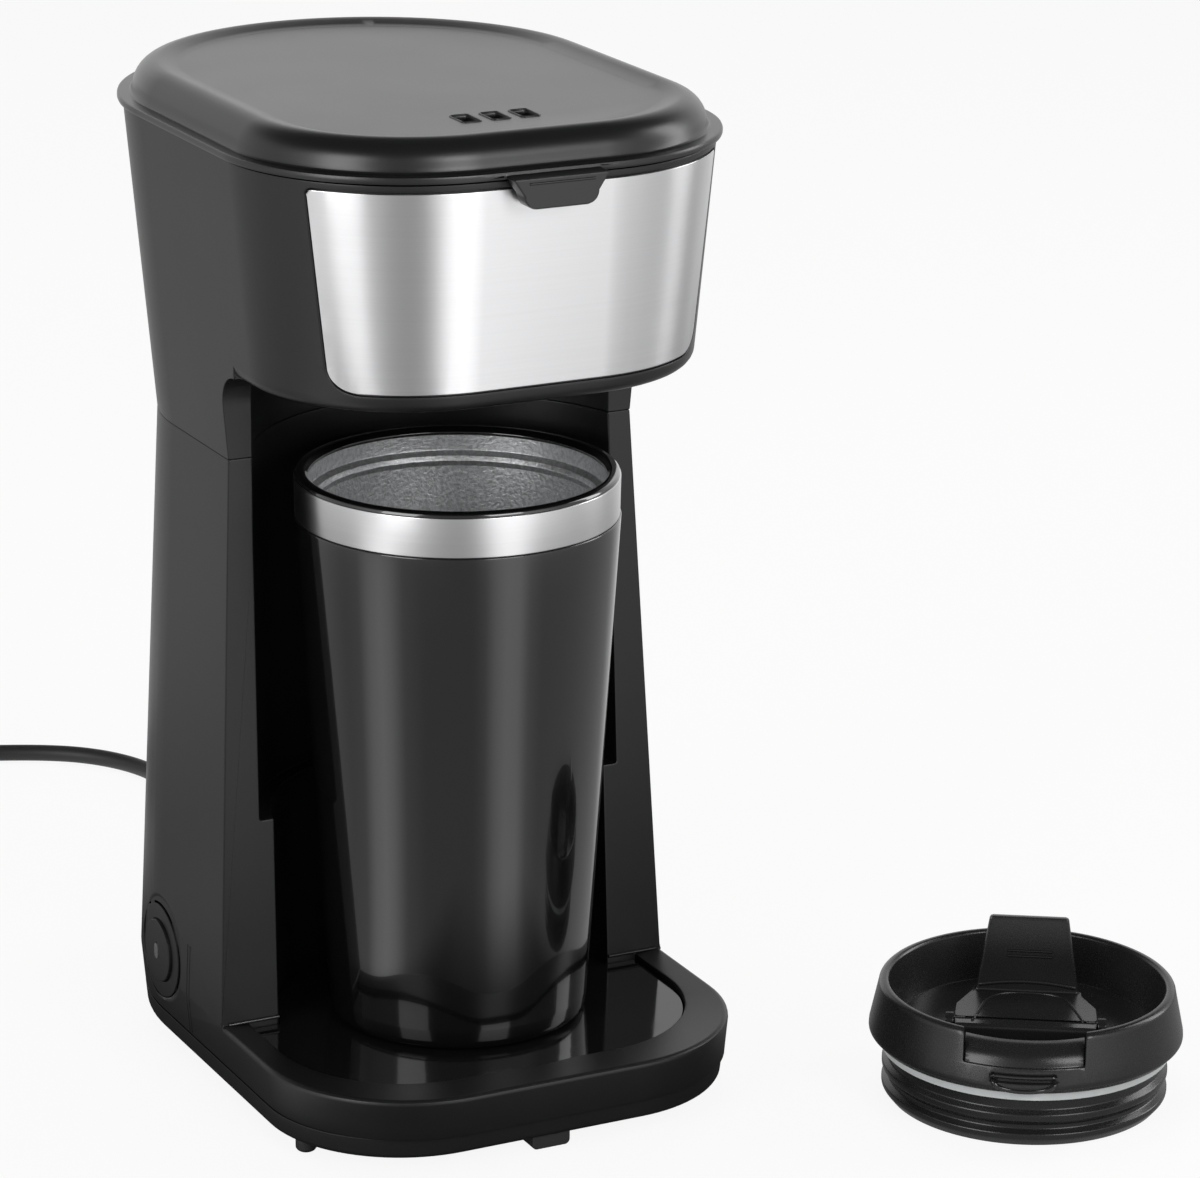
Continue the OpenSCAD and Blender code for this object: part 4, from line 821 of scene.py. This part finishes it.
def mug_lid_lines(cap, collar):
    """The cap's arched panel line and embossed dash, and the catch under the spout."""
    cap_skin, collar_skin = skin_of(cap), skin_of(collar)
    arch = arc([(-14.2, -11), (-12.6, -4), (-10.8, 3.4), (-7.6, 8.0), (-1.5, 9.6), (6, 9.0),
                (10.4, 6.0), (13.2, -1.5), (15.4, -9)])
    arch = landed(cap_skin, [lid_point(x, y, CAP_TOP) for x, y in arch], (0, 0, -1))
    placed("cap_panel_line", bead([(arch, False)], 0.42, MUG_LID_PLASTIC), MUG_LID_PLASTIC,
           body="cap")
    front = Matrix.Rotation(LID_TURN, 3, "Z") @ Vector((0, 1, 0))
    dashes = [landed(cap_skin, [lid_point(x * 0.5, 0, z) for x in range(-11, 14)], front)
              for z in (34.4, 35.9)]
    placed("cap_dash", bead([(d, False) for d in dashes], 0.4, CATCH), CATCH,
           body="cap")
    edge = [(x, 27.2 - 1.4 * (x / 13.6) ** 2) for x in range(-13, 14)]
    edge = landed(cap_skin, [lid_point(x, -5, z) for x, z in edge], front)
    placed("cap_tab_lip", bead([(edge, False)], 0.6, MUG_LID_PLASTIC), MUG_LID_PLASTIC,
           body="cap")
    lip = arc([(-8.2, 20.2), (-6.8, 18.6), (-3.4, 17.6), (0.4, 17.3), (4.2, 17.7), (7.6, 18.9),
               (8.8, 20.6)])
    lip = landed(collar_skin, [lid_point(x, COLLAR_FRONT, z) for x, z in lip], front)
    bar = landed(collar_skin, [lid_point(x, COLLAR_FRONT, 21.0) for x in range(-9, 10)], front)
    placed("catch_lip", bead([(lip, False), (bar, False)], 0.7, CATCH), CATCH,
           body="mug_lid")


def frame_loop(x, y, half_x, half_y, corner, steps=5):
    """A rounded rectangle round a point, seen from above, in millimetres."""
    points = []
    for quarter in range(4):
        side_x, side_y = ((1, 1), (-1, 1), (-1, -1), (1, -1))[quarter]
        for k in range(steps + 1):
            turn = math.radians(90 * (quarter + k / steps))
            points.append((x + side_x * (half_x - corner) + corner * math.cos(turn),
                           y + side_y * (half_y - corner) + corner * math.sin(turn)))
    return points


SLOT_PITCH, SLOT_Y = 8.2, -22.3
SLOT_HALF_X, SLOT_HALF_Y, SLOT_CORNER = 2.6, 4.4, 1.0
LID_ABOVE = 269.6


def steam_slot_frames(lid):
    skin = skin_of(lid)
    loops = []
    for x in (-SLOT_PITCH, 0, SLOT_PITCH):
        ring = frame_loop(x, SLOT_Y, SLOT_HALF_X, SLOT_HALF_Y, SLOT_CORNER)
        loops.append((landed(skin, [machine(a, b, LID_ABOVE) for a, b in ring], (0, 0, -1)), True))
    placed("steam_slot_frames", bead(loops, 0.32, LID, 8), LID, body="top_lid_body")


# In front of and beside the machine, from where its raised lines are sent on to it
OUTSIDE = -90
LEG_FOOT_X, LEG_FOOT_Y, LEG_FOOT_Z, LEG_FOOT_STEP = 49.6, 7.4, 21.7, 0.9
LID_TAB_Z = 259.6


def body_lines(body):
    """Raised lines beside the switch and the small lips where the legs meet the base."""
    skin = skin_of(body)
    ribs = []
    for y in (31.0, 32.6):
        points = [machine(OUTSIDE, y, z) for z in range(9, 37)]
        ribs.append((landed(skin, points, (1, 0, 0)), False))
    placed("switch_side_lines", bead(ribs, 0.18, BODY), BODY, body="machine")
    lips = []
    for side in (-1, 1):
        points = [machine(side * (LEG_FOOT_X + LEG_FOOT_STEP * i), LEG_FOOT_Y, LEG_FOOT_Z)
                  for i in range(17)]
        lips.append((points, False))
    placed("leg_foot_lips", bead(lips, 0.5, CATCH), CATCH, body="machine")


def lid_tab_ledge(lid):
    skin = skin_of(lid)
    points = landed(skin, [machine(x, OUTSIDE, LID_TAB_Z) for x in range(-9, 10)], (0, 1, 0), -0.1)
    placed("lid_tab_ledge", bead([(points, False)], 0.35, LID), LID, body="top_lid_body")


# ---------------------------------------------------------------- pieces from the CAD shapes

SOFT_EDGES = [
    ("body_shell", 0.5, BODY), ("head_shell", 0.3, BODY), ("bottom_cover", 0.3, COVER),
    ("cup_plate", 0.35, PLATE), ("top_lid", 0.6, LID), ("front_panel", 0.25, PANEL),
    ("switch_bezel", 0.35, RING), ("switch_button", 0.5, RING), ("feet", 0.4, RUBBER),
    ("lid_collar", 0.3, MUG_LID_PLASTIC), ("flip_cap", 0.8, MUG_LID_PLASTIC),
    ("lid_stopper", 0.3, MUG_LID_PLASTIC), ("plug_body", 1.2, LEAD), ("strain_relief", 0.2, LEAD),
    ("cord_bush", 0.3, LEAD), ("filter_basket", 0.3, INNER), ("filter_frame", 0.3, INNER),
    ("water_tank", 0.3, TANK), ("heater_block", 0.6, CAST),
]

# How far the button's back is set off, and how deep behind its face points count as its back
BUTTON_SET_OFF, BUTTON_BACK = 0.6, 4


def keep_off_switch(button):
    """Sets the button's back off, so that it stays clear of the switch when pressed."""
    outer = min(vertex.co.x for vertex in button.data.vertices)
    for vertex in button.data.vertices:
        if vertex.co.x > outer + BUTTON_BACK * MM:
            vertex.co.x -= BUTTON_SET_OFF * MM


lead, lead_line, lead_length = power_lead()
soft = {node: softened(node, width, finish) for node, width, finish in SOFT_EDGES}
keep_off_switch(soft["switch_button"])
travel_mug()
screw_set("head_screw_set", HEAD_SCREWS, "head_screws")
screw_set("cover_screw_set", COVER_SCREWS, "cover_screws")
mug_lid_lines(soft["flip_cap"], soft["lid_collar"])
steam_slot_frames(soft["top_lid"])
body_lines(soft["body_shell"])
lid_tab_ledge(soft["top_lid"])


# ---------------------------------------------------------------- light and floor

def softbox(name, place, aim, size, power, mirrored=True):
    data = bpy.data.lights.new(name, "AREA")
    data.shape = "RECTANGLE"
    data.size, data.size_y = size
    data.energy = power
    lamp = bpy.data.objects.new(name, data)
    lamp.location = place
    lamp.rotation_euler = (Vector(aim) - Vector(place)).to_track_quat("-Z", "Y").to_euler()
    lamp.visible_glossy = mirrored
    bpy.context.scene.collection.objects.link(lamp)


# What polished surfaces see overhead, and the painted shadow that the floor shows them close to the
# machine
DARK = (0.05, 0.05, 0.05)


def studio():
    softbox("left_box", (-1.6, -0.7, 0.7), (-0.05, 0, 0.12), (0.8, 1.3), 14)
    softbox("front_box", (0.25, -1.9, 1.1), (-0.05, 0, 0.12), (0.9, 0.9), 14)
    softbox("right_box", (1.5, -0.2, 0.7), (-0.05, 0, 0.12), (0.5, 1.2), 8)
    softbox("top_box", (0.0, 0.5, 1.9), (-0.05, 0, 0.15), (1.2, 1.0), 10, mirrored=False)

    world = bpy.data.worlds.new("studio")
    bpy.context.scene.world = world
    world.use_nodes = True
    f = Shading(world.node_tree)
    camera, shiny, through = f.rays()
    back = world.node_tree.nodes["Background"]
    x, y, z = f.parts(f.node("ShaderNodeTexCoord", out="Generated"))
    overhead = f.blend(z.between(0.36, 0.66), surround(f, x, y, SKY_SURROUND), DARK)
    plug(f.tree, f.blend(shiny, (1, 1, 1), overhead), back.inputs["Color"])
    seen = camera.math("MAXIMUM", through).math("MAXIMUM", shiny)
    plug(f.tree, 0.28 + 0.72 * seen, back.inputs["Strength"])


# How bright the room looks in polished surfaces, by compass angle: 0 is in front, 90 to the right.
# The near and far levels are painted on the floor as a glow that only polished surfaces see; the sky
# levels are the world's.
NEAR_SURROUND = [
    (-180, 0.9), (-150, 0.4), (-110, 0.33), (-98, 0.42), (-89, 0.95), (-80, 1.18), (-73, 1.0),
    (-63, 0.45), (-48, 0.31), (-14, 0.31), (-6, 0.45), (1, 0.9), (9, 1.18), (18, 1.1), (26, 0.55),
    (36, 0.38), (75, 0.36), (110, 0.3), (150, 0.8), (180, 0.9),
]
FAR_SURROUND = [
    (-180, 0.6), (-150, 0.55), (-100, 0.72), (-70, 0.74), (-52, 0.7), (-43, 0.66), (-33, 0.45),
    (-24, 0.38), (-15, 0.45), (-8, 0.85), (-2, 1.28), (5, 1.36), (28, 1.36), (32, 1.0),
    (46, 0.85), (67, 0.55), (100, 0.42), (150, 0.9), (180, 0.95),
]
SKY_SURROUND = [(-180, 0.95), (-150, 0.7), (-110, 0.6), (-90, 1.0), (-70, 0.9), (-40, 0.35),
                (-10, 0.35), (5, 1.15), (35, 1.15), (50, 0.6), (100, 0.6), (135, 1.0), (180, 0.95)]


def surround(f, x, y, levels):
    turn = x.math("ARCTAN2", 0 - y) / math.tau + 0.5
    stops = [(a / 360 + 0.5, (v, v, v, 1)) for a, v in levels]
    return f.node("ShaderNodeValToRGB", {"stops": stops}, Fac=turn)


# Where the near surroundings end and the far ones begin, from the bay's middle, in metres
NEAR_END, FAR_START = 0.52, 0.57
# The machine's footprint from there, and the band round it in which the floor's painted shadow fades
# and the floor brightens
HALF_WIDTH, MIDDLE_Y, HALF_DEPTH = 0.066, 0.03, 0.09
CLOSE, CLEAR = 0.015, 0.12


def floor():
    mesh = bpy.data.meshes.new("floor")
    reach = 6
    mesh.from_pydata([(-reach, -reach, 0), (reach, -reach, 0), (reach, reach, 0), (-reach, reach, 0)],
                     [], [(0, 1, 2, 3)])
    ground = bpy.data.objects.new("floor", mesh)
    bpy.context.scene.collection.objects.link(ground)
    f = Finish("floor_paper")
    f.set(Base_Color=(0.86, 0.86, 0.86), Roughness=0.8)
    camera, shiny, _ = f.rays()
    x, y, _ = f.parts(f.here)
    centre = machine(0, 0, 0)
    x, y = x - centre.x, y - centre.y
    away = (x * x + y * y).math("SQRT")
    # Painted reflections: for polished surfaces the floor glows with the room's bright bands, near
    # and far levels by compass angle
    seen = f.blend(away.between(NEAR_END, FAR_START), surround(f, x, y, NEAR_SURROUND),
                   surround(f, x, y, FAR_SURROUND))
    # Painted shadow of the machine, seen only by polished surfaces: the floor's glow is darkened
    # close to its footprint
    beside = (x.math("ABSOLUTE") - HALF_WIDTH).math("MAXIMUM", 0.0)
    before = ((y - MIDDLE_Y).math("ABSOLUTE") - HALF_DEPTH).math("MAXIMUM", 0.0)
    clear = (6.0 * beside * beside + before * before).math("SQRT")
    seen = f.blend(clear.between(CLOSE, CLEAR), DARK, seen)
    glow = f.node("ShaderNodeEmission", Color=f.blend(shiny, (1, 1, 1), seen), Strength=1.0)
    mixed = f.node("ShaderNodeMixShader", _0=camera * 0.9 + shiny,
                   _1=Field(f.tree, f.shader.outputs[0]), _2=glow)
    out = next(n for n in f.tree.nodes if n.type == "OUTPUT_MATERIAL")
    f.tree.links.new(mixed.socket, out.inputs["Surface"])
    mesh.materials.append(f.material)


studio()
floor()
